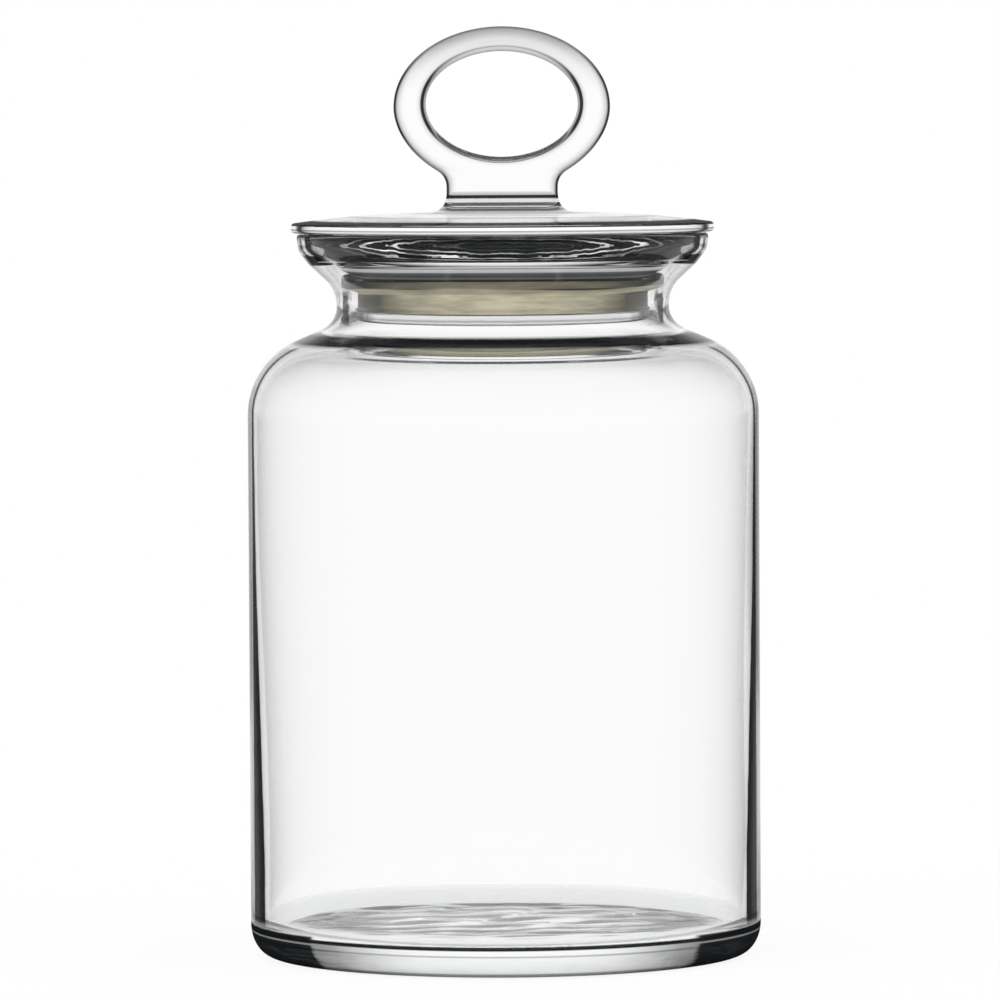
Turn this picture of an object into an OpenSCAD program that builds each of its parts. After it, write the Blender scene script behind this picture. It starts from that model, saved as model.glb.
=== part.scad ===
// Lidded glass canister: a blown jar with a waisted neck, a pressed lid that carries
// a glass ring handle, and a soft plastic seal around the lid's plug.
// Origin: centre of the foot, on the table. +Z is up; the ring handle is wide along X.

/* [Jar body] */
// Outer diameter of the straight body
body_d = 121; // [104:1:150]
// Height of the straight wall, from the table to where the shoulder begins to turn in
body_h = 127.9; // [70:0.1:200]
// Height of the rounded heel, where the wall turns into the foot
heel_h = 7.5; // [4:0.5:10]
// Width of the rounded heel, measured in from the wall
heel_w = 5.4; // [3:0.2:8]
// Glass thickness of the floor
floor_t = 5.4; // [3:0.2:10]
// Wall thickness just above the floor
wall_low = 4.3; // [2.6:0.1:6]
// Wall thickness where the shoulder begins
wall_high = 2.2; // [1.6:0.1:3.5]
// Rounding of the inside corner between floor and wall
floor_corner_r = 4; // [1:0.5:7]
// Width of the flat ring that the jar stands on
foot_w = 9; // [4:0.5:15]
// Depth of the hollow inside the foot ring
punt_h = 0.9; // [0.3:0.1:2]

/* [Shoulder and neck] */
// Radius of the shoulder's turn, on the outside
shoulder_r = 19.2; // [12:0.1:22]
// Slope of the shoulder where it runs into the neck, in degrees above level
shoulder_slope = 23.6; // [15:0.2:28]
// Outer diameter of the waist
neck_d = 78.5; // [70:0.1:84]
// Glass thickness of the neck
neck_wall = 2; // [1.4:0.1:3]
// Outside radius of the curve from the shoulder into the waist
waist_low_r = 6.2; // [4:0.1:9]
// Outside radius of the curve from the waist into the funnel
waist_high_r = 8.3; // [5:0.1:12]
// Lean of the funnel, in degrees from upright
funnel_lean = 47; // [40:1:54]
// Height of the funnel's slant
funnel_rise = 6.2; // [5.4:0.1:9]
// Bend radius between the funnel and the collar
collar_bend_r = 4; // [3:0.5:6]
// Lean of the collar, in degrees from upright
collar_lean = 22; // [10:1:28]
// Height of the collar, up to the mouth
collar_h = 7.1; // [5:0.1:9]
// Glass thickness of the collar
collar_wall = 1.7; // [1.3:0.1:2.2]

/* [Lid] */
// Outer diameter of the lid's flange
lid_d = 100; // [98:0.5:116]
// Thickness of the flange at its rim
rim_t = 2.2; // [1.6:0.1:3.4]
// Rise of the lid's domed top above its rim
dome_h = 2.3; // [1:0.1:4]
// Slope of the bowl's underside, in degrees above level
bowl_slope = 23; // [16:1:24]
// Rounding of the bowl's outer corner
bowl_corner_r = 4; // [2:0.5:4.5]
// Depth of the groove that the seal sits in
groove_depth = 1.7; // [1.4:0.1:2.2]
// Height of the bead that keeps the seal on the plug
bead_h = 3.2; // [2:0.1:4]
// Rounding of the bead's lower edge
bead_round = 1.3; // [0.5:0.1:1.5]
// Wall thickness of the plug at its open end
plug_wall = 4.2; // [3.6:0.1:5.5]
// Draft of the hollow inside the plug, in degrees
plug_draft = 7; // [2:0.5:10]
// Glass between the hollow's ceiling and the lid's top
ceiling_t = 7.5; // [5:0.5:9]
// Rounding of the hollow's ceiling
ceiling_r = 7; // [3:0.5:9]

/* [Seal] */
// Height of the seal's sleeve, below the bowl
seal_h = 8.7; // [6:0.1:11]
// Wall thickness of the sleeve
sleeve_t = 1.05; // [0.8:0.05:1.4]
// Thickness of the seal's sealing lip at its edge
lip_t = 2.6; // [1.4:0.1:3]
// Reach of the small fin at the sleeve's lower end
fin_reach = 0.95; // [0.5:0.05:1.2]
// Height of the fin, where it runs out on the sleeve
fin_h = 1.5; // [1:0.1:3]

/* [Ring handle] */
// Outer width of the ring
ring_w = 51.2; // [40:0.2:64]
// Width of the finger hole
hole_w = 35.9; // [26:0.1:36]
// Height of the finger hole
hole_h = 24.9; // [18:0.1:25.6]
// Glass above the finger hole
ring_top_t = 5.85; // [4:0.05:8]
// Glass below the finger hole
ring_low_t = 7.5; // [5.5:0.1:10]
// Depth of the ring, front to back
ring_depth = 9; // [6:0.5:12]
// Width of the stem under the ring
stem_w = 26.3; // [22:0.1:30]
// Height from the lid to the lowest point of the ring
stem_h = 5.8; // [4:0.1:10]
// Reach of the flare where the stem meets the lid
foot_flare = 3.4; // [2:0.1:5]

/* [Fits] */
// Gap between the lid's flange and the jar's mouth
mouth_gap = 0.3; // [0.2:0.05:0.6]
// Gap between the seal's lip and the funnel that it closes
seat_gap = 0.4; // [0.2:0.05:0.6]
// Gap between the lid's bowl and the inside of the collar
bowl_gap = 1.25; // [0.6:0.05:2]
// Gap between the bowl's corner, before it is rounded, and the funnel
corner_gap = 0.15; // [0.1:0.05:0.6]
// Gap between the plug's bead and the inside of the neck
plug_gap = 2.4; // [1:0.1:2.8]
// Running gap between the seal's bore and the plug
bore_gap = 0.08; // [0.05:0.01:0.1]
// Gap between the seal's ends and the glass above and below it
end_gap = 0.25; // [0.15:0.05:0.4]

/* [Hidden] */
$fn = 128;

arc_step = 7.5;      // largest turn between two points of a rounded corner, in degrees
lip_round = 0.8;     // rounding of the glass edges at the mouth, the flange and the plug's hollow
groove_round = 0.5;  // rounding of the bead's upper edge
soft_round = 0.3;    // rounding of the seal's small edges
dome_step = 3;       // spacing of the points along the lid's dome
pad_margin = 1.2;    // flat glass around the foot of the ring handle
ring_steps = 64;     // cross-sections around the ring
skin_steps = 24;     // points around one cross-section
stem_steps = 20;     // cross-sections up the stem
ring_square = 2.6;   // squareness of the ring's cross-section: 2 is an ellipse
stem_square = 4;     // squareness of the stem's cross-section
belly_drop = 0.7;    // the ring's widest point lies this far below the finger hole's middle
stem_inset = 0.3;    // the stem's faces lie this far behind the ring's
stem_overlap = 0.6;  // share of the glass below the finger hole that the stem runs into
flare_room = 1.6;    // the flare starts this much higher than it reaches out
flare_bend = 2.2;    // how sharply the flare curves out onto the lid

// ---- Drawing helpers: half-profiles are lists of [radius, height, corner radius] ----

// Where the line through p at angle a meets the line through q at angle b
function meet(p, a, q, b) =
    let (d = cos(a) * sin(b) - sin(a) * cos(b),
         s = ((q.x - p.x) * sin(b) - (q.y - p.y) * cos(b)) / d)
    [p.x + s * cos(a), p.y + s * sin(a)];

// p moved by t, square to a line at angle a, to its left
function beside(p, a, t) = [p.x - t * sin(a), p.y + t * cos(a)];

function flat(p) = [p.x, p.y];
function angle_of(v) = atan2(v.y, v.x);
function turn_of(u, v) = let (t = angle_of(v) - angle_of(u)) t > 180 ? t - 360 : t < -180 ? t + 360 : t;

// The points of one rounded corner at p, on the way from a to b
function corner(a, p, b, r) =
    let (u = flat(p) - flat(a), v = flat(b) - flat(p), turn = turn_of(u, v))
    r <= 0 || abs(turn) < 0.01 ? [flat(p)] :
    let (side = sign(turn),
         reach = r * tan(abs(turn) / 2),
         start = flat(p) - u / norm(u) * reach,
         centre = beside(start, angle_of(u), side * r),
         from = angle_of(u) - side * 90,
         n = ceil(abs(turn) / arc_step))
    [for (i = [0:n]) centre + r * [cos(from + turn * i / n), sin(from + turn * i / n)]];

// A closed outline with every corner rounded by its own radius
function rounded(pts) =
    let (n = len(pts))
    [for (i = [0:n - 1]) each corner(pts[(i + n - 1) % n], pts[i], pts[(i + 1) % n], pts[i].z)];

// [x, y] with a corner radius
function at(p, r = 0) = [p.x, p.y, r];

module turned(pts) { rotate_extrude() polygon(rounded(pts)); }

// ---- Jar: sizes worked out from the driving dimensions ----
body_r = body_d / 2;
neck_r = neck_d / 2;
neck_in_r = neck_r - neck_wall;
rise_angle = 180 - shoulder_slope;         // the shoulder's direction, running in and up
funnel_angle = 90 - funnel_lean;
collar_angle = 90 - collar_lean;

// Outside corners, from the body up
shoulder_out = [body_r, body_h + shoulder_r * tan((90 - shoulder_slope) / 2)];
neck_low = meet(shoulder_out, rise_angle, [neck_r, 0], 90);
waist_z = neck_low.y + waist_low_r * tan((90 - shoulder_slope) / 2);
neck_high = [neck_r, waist_z + waist_high_r * tan(funnel_lean / 2)];
funnel_top = neck_high + funnel_rise * [tan(funnel_lean), 1];
mouth_z = funnel_top.y + collar_h;
mouth_out = [funnel_top.x + collar_h * tan(collar_lean), mouth_z];

// Inside corners: the outside lines moved in by the glass thickness
floor_z = punt_h + floor_t;
inner_high = [body_r - wall_high, body_h];
wall_angle = angle_of(inner_high - [body_r - wall_low, floor_z]);
shoulder_in = meet(inner_high, wall_angle, beside(shoulder_out, rise_angle, wall_high), rise_angle);
neck_in_low = meet(shoulder_in, rise_angle, [neck_in_r, 0], 90);
neck_in_high = meet([neck_in_r, 0], 90, beside(neck_high, funnel_angle, neck_wall), funnel_angle);
collar_line = beside(mouth_out, collar_angle, collar_wall);
funnel_in = meet(neck_in_high, funnel_angle, collar_line, collar_angle);
mouth_in = meet(collar_line, collar_angle, mouth_out, 0);
funnel_corner_r = collar_bend_r - neck_wall / 2;

foot_in_r = body_r - heel_w - foot_w;
heel = [for (a = [0:arc_step:90]) [body_r - heel_w * (1 - sin(a)), heel_h * (1 - cos(a)), 0]];

module jar() {
    color([0.87, 0.93, 0.92, 0.35])
    turned([
        [0, punt_h, 0], [foot_in_r, punt_h, punt_h], [foot_in_r + punt_h, 0, 0],
        each heel, at(shoulder_out, shoulder_r), at(neck_low, waist_low_r),
        at(neck_high, waist_high_r), at(funnel_top, collar_bend_r), at(mouth_out, lip_round),
        at(mouth_in, lip_round), at(funnel_in, funnel_corner_r), at(neck_in_high, waist_high_r + neck_wall),
        at(neck_in_low, waist_low_r + neck_wall), at(shoulder_in, shoulder_r - wall_high),
        [body_r - wall_low, floor_z, floor_corner_r], [0, floor_z, 0]
    ]);
}

// ---- Lid: hangs its flange over the mouth and its plug into the neck ----
lid_r = lid_d / 2;
rim_z = mouth_z + mouth_gap;               // underside of the flange
top_z = rim_z + rim_t;                     // rim of the domed top
pad_z = top_z + dome_h;                    // flat pad that carries the ring handle
bead_r = neck_in_r - plug_gap;
groove_r = bead_r - groove_depth;

// Side and underside of the bowl
bowl_r = mouth_in.x - (mouth_z - funnel_in.y) / 2 * tan(collar_lean) - bowl_gap / cos(collar_lean);
bowl_low = meet([bowl_r, 0], 90, beside(funnel_in, funnel_angle, corner_gap), funnel_angle);
groove_high = meet(bowl_low, bowl_slope, [groove_r, 0], 90);
groove_low_z = groove_high.y - seal_h;
plug_z = groove_low_z - bead_h;
hollow_r = bead_r - plug_wall;
ceiling_z = pad_z - ceiling_t;
hollow_top = [hollow_r - (ceiling_z - plug_z) * tan(plug_draft), ceiling_z];

// Foot of the ring handle on the lid
foot_half_w = stem_w / 2 + foot_flare;
pad_r = foot_half_w + pad_margin;

module lid() {
    dome = [for (r = [pad_r:dome_step:lid_r - dome_step])
        [r, top_z + dome_h * (1 - pow((r - pad_r) / (lid_r - pad_r), 2)), 0]];
    color([0.88, 0.94, 0.93, 0.35])
    turned(concat(
        [[0, ceiling_z, 0], at(hollow_top, ceiling_r), [hollow_r, plug_z, lip_round],
         [bead_r, plug_z, bead_round], [bead_r, groove_low_z, groove_round], [groove_r, groove_low_z, 0],
         at(groove_high), at(bowl_low, bowl_corner_r), [bowl_r, rim_z, lip_round],
         [lid_r, rim_z, lip_round], [lid_r, top_z, lip_round]],
        [for (i = [len(dome) - 1:-1:0]) dome[i]],
        [[0, pad_z, 0]]
    ));
}

// ---- Seal: a sleeve in the plug's groove, with a lip that closes the funnel ----
bore_r = groove_r + bore_gap;
sleeve_r = bore_r + sleeve_t;
seal_low_z = groove_low_z + end_gap;
// Top of the seal at radius r: the bowl's underside, less the gap
function under_bowl(r) = groove_high.y + (r - groove_r) * tan(bowl_slope) - end_gap / cos(bowl_slope);

// The lip's lower edge, where the funnel's wall leaves room for the lip's thickness under the bowl
lip_low = meet([0, under_bowl(0) - lip_t], bowl_slope, neck_in_high - [seat_gap, 0], funnel_angle);
lip_root_z = under_bowl(sleeve_r) - lip_t;

module seal_ring() {
    color([0.80, 0.77, 0.65])
    turned([
        [bore_r, seal_low_z, 0], [sleeve_r + fin_reach, seal_low_z, soft_round],
        [sleeve_r, seal_low_z + fin_h, soft_round], [sleeve_r, lip_root_z, soft_round],
        at(lip_low, soft_round), [lip_low.x + lip_t / 2, under_bowl(lip_low.x + lip_t / 2), soft_round],
        [bore_r, under_bowl(bore_r), 0]
    ]);
}

// ---- Ring handle: a flattened ring on a stem that flares out onto the lid ----
ring_low_z = pad_z + stem_h;
hole_z = ring_low_z + ring_low_t + hole_h / 2;
ring_top_z = hole_z + hole_h / 2 + ring_top_t;
belly_z = hole_z - belly_drop;             // height of the ring's widest point

function superellipse(t, n) = [sign(cos(t)) * pow(abs(cos(t)), 2 / n), sign(sin(t)) * pow(abs(sin(t)), 2 / n)];

// Outer edge of the ring at angle t around its middle: a half ellipse above and one below the belly
function ring_outer(t) = [ring_w / 2 * cos(t), belly_z + sin(t) * (sin(t) > 0 ? ring_top_z - belly_z : belly_z - ring_low_z)];
function ring_inner(t) = [hole_w / 2 * cos(t), hole_z + hole_h / 2 * sin(t)];

// One cross-section of the ring, as points in space
function ring_section(t) =
    let (a = ring_inner(t), b = ring_outer(t), mid = (a + b) / 2, half = (b - a) / 2)
    [for (j = [0:skin_steps - 1])
        let (s = superellipse(360 * j / skin_steps, ring_square), p = mid + half * s.x)
        [p.x, ring_depth / 2 * s.y, p.y]];

// The stem widens by this much at height z, to flare out onto the lid
function flare(z) = foot_flare * pow(max(0, 1 - (z - pad_z) / (foot_flare + flare_room)), flare_bend);

stem_top_z = ring_low_z + ring_low_t * stem_overlap;
function stem_section(z) =
    [for (j = [0:2 * skin_steps - 1])
        let (s = superellipse(180 * j / skin_steps, stem_square))
        [(stem_w / 2 + flare(z)) * s.x, (ring_depth / 2 - stem_inset + flare(z)) * s.y, z]];

// Triangles between neighbouring rows of points; each row is a loop of m points
function skin(rows, m, closed) =
    [for (i = [0:rows - (closed ? 1 : 2)], j = [0:m - 1])
        let (a = i * m, b = ((i + 1) % rows) * m, k = (j + 1) % m)
        each [[b + j, b + k, a + k], [b + j, a + k, a + j]]];

module ring() {
    sections = [for (i = [0:ring_steps - 1]) ring_section(360 * i / ring_steps)];
    polyhedron([for (s = sections) each s], skin(ring_steps, skin_steps, true), convexity = 6);
}

module stem() {
    m = 2 * skin_steps;
    heights = [for (i = [0:stem_steps - 1]) pad_z + (stem_top_z - pad_z) * pow(i / (stem_steps - 1), 1.3)];
    points = [for (z = heights) each stem_section(z)];
    last = (stem_steps - 1) * m;
    caps = [[for (j = [0:m - 1]) j], [for (j = [m - 1:-1:0]) last + j]];
    polyhedron(points, concat(skin(stem_steps, m, false), caps), convexity = 4);
}

module ring_handle() {
    color([0.88, 0.94, 0.93, 0.35])
    union() { ring(); stem(); }
}

jar();
lid();
ring_handle();
seal_ring();
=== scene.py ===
# %% [markdown]
# # A lidded glass canister
# A blown glass jar with a waisted neck, a pressed glass lid whose plug carries a soft plastic
# seal, and a glass ring handle fused to the lid's top. Nearly everything here is turned on one
# axis, so most pieces are lathe work: a half-profile, spun around Z. Clear glass has no colour of
# its own to paint. What the eye reads is its thickness and its edges, so the profiles matter most.

# %% Load the fixed frame
import math
import random

import bmesh
import bpy
import numpy as np
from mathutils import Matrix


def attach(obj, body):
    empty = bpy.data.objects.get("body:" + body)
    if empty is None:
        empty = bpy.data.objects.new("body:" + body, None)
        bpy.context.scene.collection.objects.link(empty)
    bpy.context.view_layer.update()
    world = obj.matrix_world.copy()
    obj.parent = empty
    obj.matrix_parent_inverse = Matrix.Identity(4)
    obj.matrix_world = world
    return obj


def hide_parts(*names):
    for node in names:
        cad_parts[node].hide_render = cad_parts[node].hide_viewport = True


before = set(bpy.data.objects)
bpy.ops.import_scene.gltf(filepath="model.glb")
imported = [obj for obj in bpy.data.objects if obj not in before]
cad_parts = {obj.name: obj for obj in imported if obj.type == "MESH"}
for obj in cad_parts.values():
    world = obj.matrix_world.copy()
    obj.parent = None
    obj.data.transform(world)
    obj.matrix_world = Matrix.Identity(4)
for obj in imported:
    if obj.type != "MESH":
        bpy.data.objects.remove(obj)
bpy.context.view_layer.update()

# %% [markdown]
# ## Turning tools
# A half-profile is a short list of corners, each with its own rounding, in millimetres. One
# function turns every corner into an arc and cuts long runs into short steps, so that the glass
# can later be given a slight waviness. Another spins the profile. Fine, even steps are worth
# their cost here: clear glass bends light twice at each wall, and shows every flat facet.

# %% Profiles: corners with roundings become arcs
MM = 0.001
ARC_STEP = math.radians(4)
STRAIGHT = 1e-4
TINY = 1e-6


def rounded_corner(before, corner, after, radius):
    """The points of one corner, rounded by an arc that touches both runs."""
    here = np.array(corner[:2], float)
    arriving = here - np.array(before[:2], float)
    leaving = np.array(after[:2], float) - here
    turn = math.atan2(
        arriving[0] * leaving[1] - arriving[1] * leaving[0], float(arriving @ leaving)
    )
    if radius <= 0 or abs(turn) < STRAIGHT:
        return [here]
    side = math.copysign(1.0, turn)
    ahead = arriving / np.linalg.norm(arriving)
    start = here - ahead * radius * math.tan(abs(turn) / 2)
    centre = start + side * radius * np.array([-ahead[1], ahead[0]])
    steps = max(2, math.ceil(abs(turn) / ARC_STEP))
    points = []
    spoke = start - centre
    for i in range(steps + 1):
        a = turn * i / steps
        r = spoke[0] * math.cos(a) - spoke[1] * math.sin(a)
        z = spoke[0] * math.sin(a) + spoke[1] * math.cos(a)
        points.append(centre + np.array([r, z]))
    return points


def rounded(corners, step):
    """An open half-profile from (radius, height, rounding) corners, in steps of so many mm."""
    points = [np.array(corners[0][:2], float)]
    for i in range(1, len(corners) - 1):
        c = corners[i]
        points += rounded_corner(corners[i - 1], c, corners[i + 1], c[2])
    points.append(np.array(corners[-1][:2], float))
    fine = [points[0]]
    for p in points[1:]:
        run = float(np.linalg.norm(p - fine[-1]))
        if run < TINY:
            continue
        cuts = max(1, math.ceil(run / step))
        start = fine[-1]
        fine += [start + (p - start) * (k / cuts) for k in range(1, cuts + 1)]
    return np.array(fine)


def meet(p, p_lean, q, q_lean):
    """Where two lines meet. Each lean is an angle in degrees from the radius direction."""
    a = math.radians(p_lean)
    b = math.radians(q_lean)
    spread = math.cos(a) * math.sin(b) - math.sin(a) * math.cos(b)
    along = ((q[0] - p[0]) * math.sin(b) - (q[1] - p[1]) * math.cos(b)) / spread
    return (p[0] + along * math.cos(a), p[1] + along * math.sin(a))


def beside(p, lean, distance):
    """The point beside a line, to its left."""
    a = math.radians(lean)
    return (p[0] - distance * math.sin(a), p[1] + distance * math.cos(a))


def middle(p, q):
    """The point half-way between two."""
    return ((p[0] + q[0]) / 2, (p[1] + q[1]) / 2)


sample = rounded([(0, 0, 0), (10, 0, 2), (10, 10, 0)], 2.0)
print("a sample corner becomes", len(sample), "points")

# %% [markdown]
# A profile could be spun by Blender's Screw modifier. Here the rings of points are computed
# instead, because the jar's inside gets its waviness from each point's angle and height, and
# because the lid's top is later stitched to the handle, point by point.

# %% Lathe: spin a half-profile around Z
AROUND = 204


def spun_points(profile, shift=None):
    """Rings of points, [step, angle, xyz] in mm. shift(radius, height, angle) adds waviness."""
    angle = np.linspace(0, 2 * math.pi, AROUND, endpoint=False)
    r = np.repeat(profile[:, :1], AROUND, axis=1)
    z = np.repeat(profile[:, 1:], AROUND, axis=1)
    if shift is not None:
        dr, dz = shift(r, z, angle[None, :])
        r = r + dr
        z = z + dz
    return np.stack([r * np.cos(angle), r * np.sin(angle), z], axis=-1)


def mesh_object(name, points, faces):
    """A new smooth object from points in mm and lists of corner numbers."""
    mesh = bpy.data.meshes.new(name)
    mesh.from_pydata((np.asarray(points) * MM).tolist(), [], faces)
    mesh.update()
    mesh.shade_smooth()
    obj = bpy.data.objects.new(name, mesh)
    bpy.context.scene.collection.objects.link(obj)
    return obj


def ring_faces(rows, loop=False):
    """Quads between neighbouring rings of a spun profile, facing out for a rising outer wall."""
    faces = []
    last = rows if loop else rows - 1
    for i in range(last):
        a = i * AROUND
        b = (i + 1) % rows * AROUND
        for j in range(AROUND):
            k = (j + 1) % AROUND
            faces.append((a + j, a + k, b + k, b + j))
    return faces


def closed_at_axis(name, rings):
    """A spun shell whose first and last profile points lie on the axis: each becomes one point."""
    body = rings[1:-1].reshape(-1, 3)
    count = len(rings) - 2
    points = np.vstack([body, rings[0, 0], rings[-1, 0]])
    low = len(body)
    high = low + 1
    faces = ring_faces(count)
    top = (count - 1) * AROUND
    for j in range(AROUND):
        k = (j + 1) % AROUND
        faces.append((low, k, j))
        faces.append((high, top + j, top + k))
    return mesh_object(name, points, faces)


print("turning tools ready:", AROUND, "steps around")

# %% [markdown]
# ## The jar
# The jar is one piece of glass. Its outline is the same as the frame's: straight body, round
# shoulder, waist, funnel and collar. The collar bulges out by a millimetre. The inside isn't
# simply the outline moved in: the wall grows from about two millimetres at the shoulder to twice
# that at the foot, as blown glass does, and the solid base is thicker still. On a real jar that is
# why the dark lines along its sides widen downwards; here those lines are painted shade, drawn
# wider towards the foot.

# %% Jar: sizes in mm, leans and slopes in degrees
# Body, shoulder and neck
BODY_R = 60.5
BODY_H = 127.9
SHOULDER_R = 19.2
SHOULDER_SLOPE = 23.6
SHOULDER_SLOPE_IN = 22.0
NECK_R = 39.25
NECK_WALL = 2.0
WAIST_LOW_R = 6.2
WAIST_HIGH_R = 8.3
# The funnel that the seal's lip closes, and the collar above it
FUNNEL_LEAN = 47
FUNNEL_RISE = 6.2
COLLAR_BEND_R = 4.0
COLLAR_LEAN = 22
COLLAR_H = 7.1
COLLAR_WALL = 1.7
COLLAR_BULGE = 1.0
LIP_ROUND = 0.8
# The wall's thickness at the floor and at the shoulder
WALL_LOW = 4.3
WALL_HIGH = 2.2
# The rounded heel, the ring that the jar stands on, and the hollow inside that ring
HEEL_H = 7.5
HEEL_W = 5.4
HEEL_STEP = 6
FOOT_W = 9.0
FOOT_ROUND = 0.4
PUNT_H = 0.9
# The floor inside
FLOOR_Z = 6.3
FLOOR_CORNER_R = 4.0

RISE = 180 - SHOULDER_SLOPE
shoulder_tip = math.tan(math.radians((90 - SHOULDER_SLOPE) / 2))
shoulder_out = (BODY_R, BODY_H + SHOULDER_R * shoulder_tip)
neck_low = meet(shoulder_out, RISE, (NECK_R, 0), 90)
waist_z = neck_low[1] + WAIST_LOW_R * shoulder_tip
neck_high = (NECK_R, waist_z + WAIST_HIGH_R * math.tan(math.radians(FUNNEL_LEAN / 2)))
funnel_top = (
    neck_high[0] + FUNNEL_RISE * math.tan(math.radians(FUNNEL_LEAN)),
    neck_high[1] + FUNNEL_RISE,
)
mouth_z = funnel_top[1] + COLLAR_H
mouth_out = (funnel_top[0] + COLLAR_H * math.tan(math.radians(COLLAR_LEAN)), mouth_z)

wall_in_high = (BODY_R - WALL_HIGH, BODY_H)
wall_in_low = (BODY_R - WALL_LOW, FLOOR_Z)
wall_lean = math.degrees(math.atan2(BODY_H - FLOOR_Z, wall_in_high[0] - wall_in_low[0]))
RISE_IN = 180 - SHOULDER_SLOPE_IN
shoulder_in = meet(wall_in_high, wall_lean, beside(shoulder_out, RISE, WALL_HIGH), RISE_IN)
neck_in_low = meet(shoulder_in, RISE_IN, (NECK_R - NECK_WALL, 0), 90)
neck_in_high = meet(
    (NECK_R - NECK_WALL, 0), 90, beside(neck_high, 90 - FUNNEL_LEAN, NECK_WALL), 90 - FUNNEL_LEAN
)
collar_in = beside(mouth_out, 90 - COLLAR_LEAN, COLLAR_WALL)
funnel_in = meet(neck_in_high, 90 - FUNNEL_LEAN, collar_in, 90 - COLLAR_LEAN)
mouth_in = meet(collar_in, 90 - COLLAR_LEAN, mouth_out, 0)
bulge_out = beside(middle(funnel_top, mouth_out), 90 - COLLAR_LEAN, -COLLAR_BULGE)
bulge_in = beside(middle(funnel_in, mouth_in), 90 - COLLAR_LEAN, -COLLAR_BULGE)
print("mouth at z = %.2f mm, waist at z = %.2f mm" % (mouth_z, waist_z))

# %% Jar: outline and inside, from the middle of the foot round to the middle of the floor
JAR_STEP = 1.5
foot_in_r = BODY_R - HEEL_W - FOOT_W
heel = []
for degrees in range(0, 90 + HEEL_STEP, HEEL_STEP):
    a = math.radians(degrees)
    heel.append((BODY_R - HEEL_W * (1 - math.sin(a)), HEEL_H * (1 - math.cos(a)), 0))
jar_corners = [
    (0, PUNT_H, 0),
    (foot_in_r, PUNT_H, PUNT_H),
    (foot_in_r + PUNT_H, 0, FOOT_ROUND),
    *heel,
    (*shoulder_out, SHOULDER_R),
    (*neck_low, WAIST_LOW_R),
    (*neck_high, WAIST_HIGH_R),
    (*funnel_top, COLLAR_BEND_R),
    (*bulge_out, COLLAR_BEND_R),
    (*mouth_out, LIP_ROUND),
    (*mouth_in, LIP_ROUND),
    (*bulge_in, COLLAR_BEND_R),
    (*funnel_in, COLLAR_BEND_R - NECK_WALL / 2),
    (*neck_in_high, WAIST_HIGH_R + NECK_WALL),
    (*neck_in_low, WAIST_LOW_R + NECK_WALL),
    (*shoulder_in, SHOULDER_R - WALL_HIGH),
    (*wall_in_low, FLOOR_CORNER_R),
    (0, FLOOR_Z, 0),
]
jar_profile = rounded(jar_corners, JAR_STEP)
print("jar profile:", len(jar_profile), "points")

# %% [markdown]
# Blown glass is never quite even. The outside met a mould and is nearly true; the inside only met
# air, so its wall wanders by a tenth of a millimetre. The floor cooled against nothing at all and
# keeps the small ripples of the gob. A few sine waves with fixed, seeded directions make both.

# %% Jar: waviness of the inside and ripples of the floor
RIPPLE_SEED = 11
waves = random.Random(RIPPLE_SEED)


def wave_set(count, shortest, longest):
    """Directions, wave numbers and phases of plane waves across a level surface, in mm."""
    found = []
    for _ in range(count):
        heading = waves.uniform(0, math.tau)
        number = math.tau / waves.uniform(shortest, longest)
        start = waves.uniform(0, math.tau)
        found.append((number * math.cos(heading), number * math.sin(heading), start))
    return found


floor_waves = wave_set(14, 9.0, 30.0)
FLOOR_RIPPLE = 0.05
CALM_EDGE = 6.0
WALL_WANDER = 0.10
# Each wave of the wall: size, waves around, start, and the height in mm over which it twists
WALL_WAVES = ((1.0, 3, 0.7, 31.0), (0.7, 5, 2.0, -23.0), (0.5, 2, 0.0, 13.0))
WAVES_BEGIN = 12.0
WAVES_GROW = 20.0
WAVES_FADE = 25.0
THINNEST = 1.2
floor_edge_r = BODY_R - WALL_LOW - FLOOR_CORNER_R


def jar_shift(r, z, angle):
    """How far each point inside the jar moves out and up. The outside doesn't move."""
    x = r * np.cos(angle)
    y = r * np.sin(angle)
    inside = (z > FLOOR_Z - 0.01) & (r < BODY_R - THINNEST)
    on_floor = inside & (z < FLOOR_Z + 0.3)
    calm = np.clip((floor_edge_r - r) / CALM_EDGE, 0, 1)
    ripple = sum(np.sin(kx * x + ky * y + p) for kx, ky, p in floor_waves)
    dz = np.where(on_floor, FLOOR_RIPPLE * ripple * calm, 0.0)
    wander = sum(
        size * np.sin(count * angle + start + z / twist)
        for size, count, start, twist in WALL_WAVES
    )
    low_end = np.clip((z - WAVES_BEGIN) / WAVES_GROW, 0, 1)
    high_end = np.clip((waist_z - z) / WAVES_FADE, 0, 1)
    dr = np.where(inside & ~on_floor, WALL_WANDER * wander * low_end * high_end, 0.0)
    return dr, dz


jar = closed_at_axis("glass_jar", spun_points(jar_profile, jar_shift))
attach(jar, "jar")
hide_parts("jar")
print("jar:", len(jar.data.vertices), "points")

# %% [markdown]
# ## The lid
# The lid is pressed glass: a thin flange, a bowl-shaped underside and a hollow plug. It is turned
# like the jar, but its top is left open at the middle, because the ring handle grows out of it
# there. On the real lid the handle is the same glass, so the two must be one skin: a second
# surface inside clear glass would show as a bright seam.

# %% Lid: sizes in mm, slopes in degrees
# Flange and dome
LID_R = 50.0
RIM_T = 2.2
DOME_H = 2.3
# The bowl, which hangs in the collar and funnel
BOWL_SLOPE = 23
BOWL_CORNER_R = 8.0
BOWL_LEAN = 1.5
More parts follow.
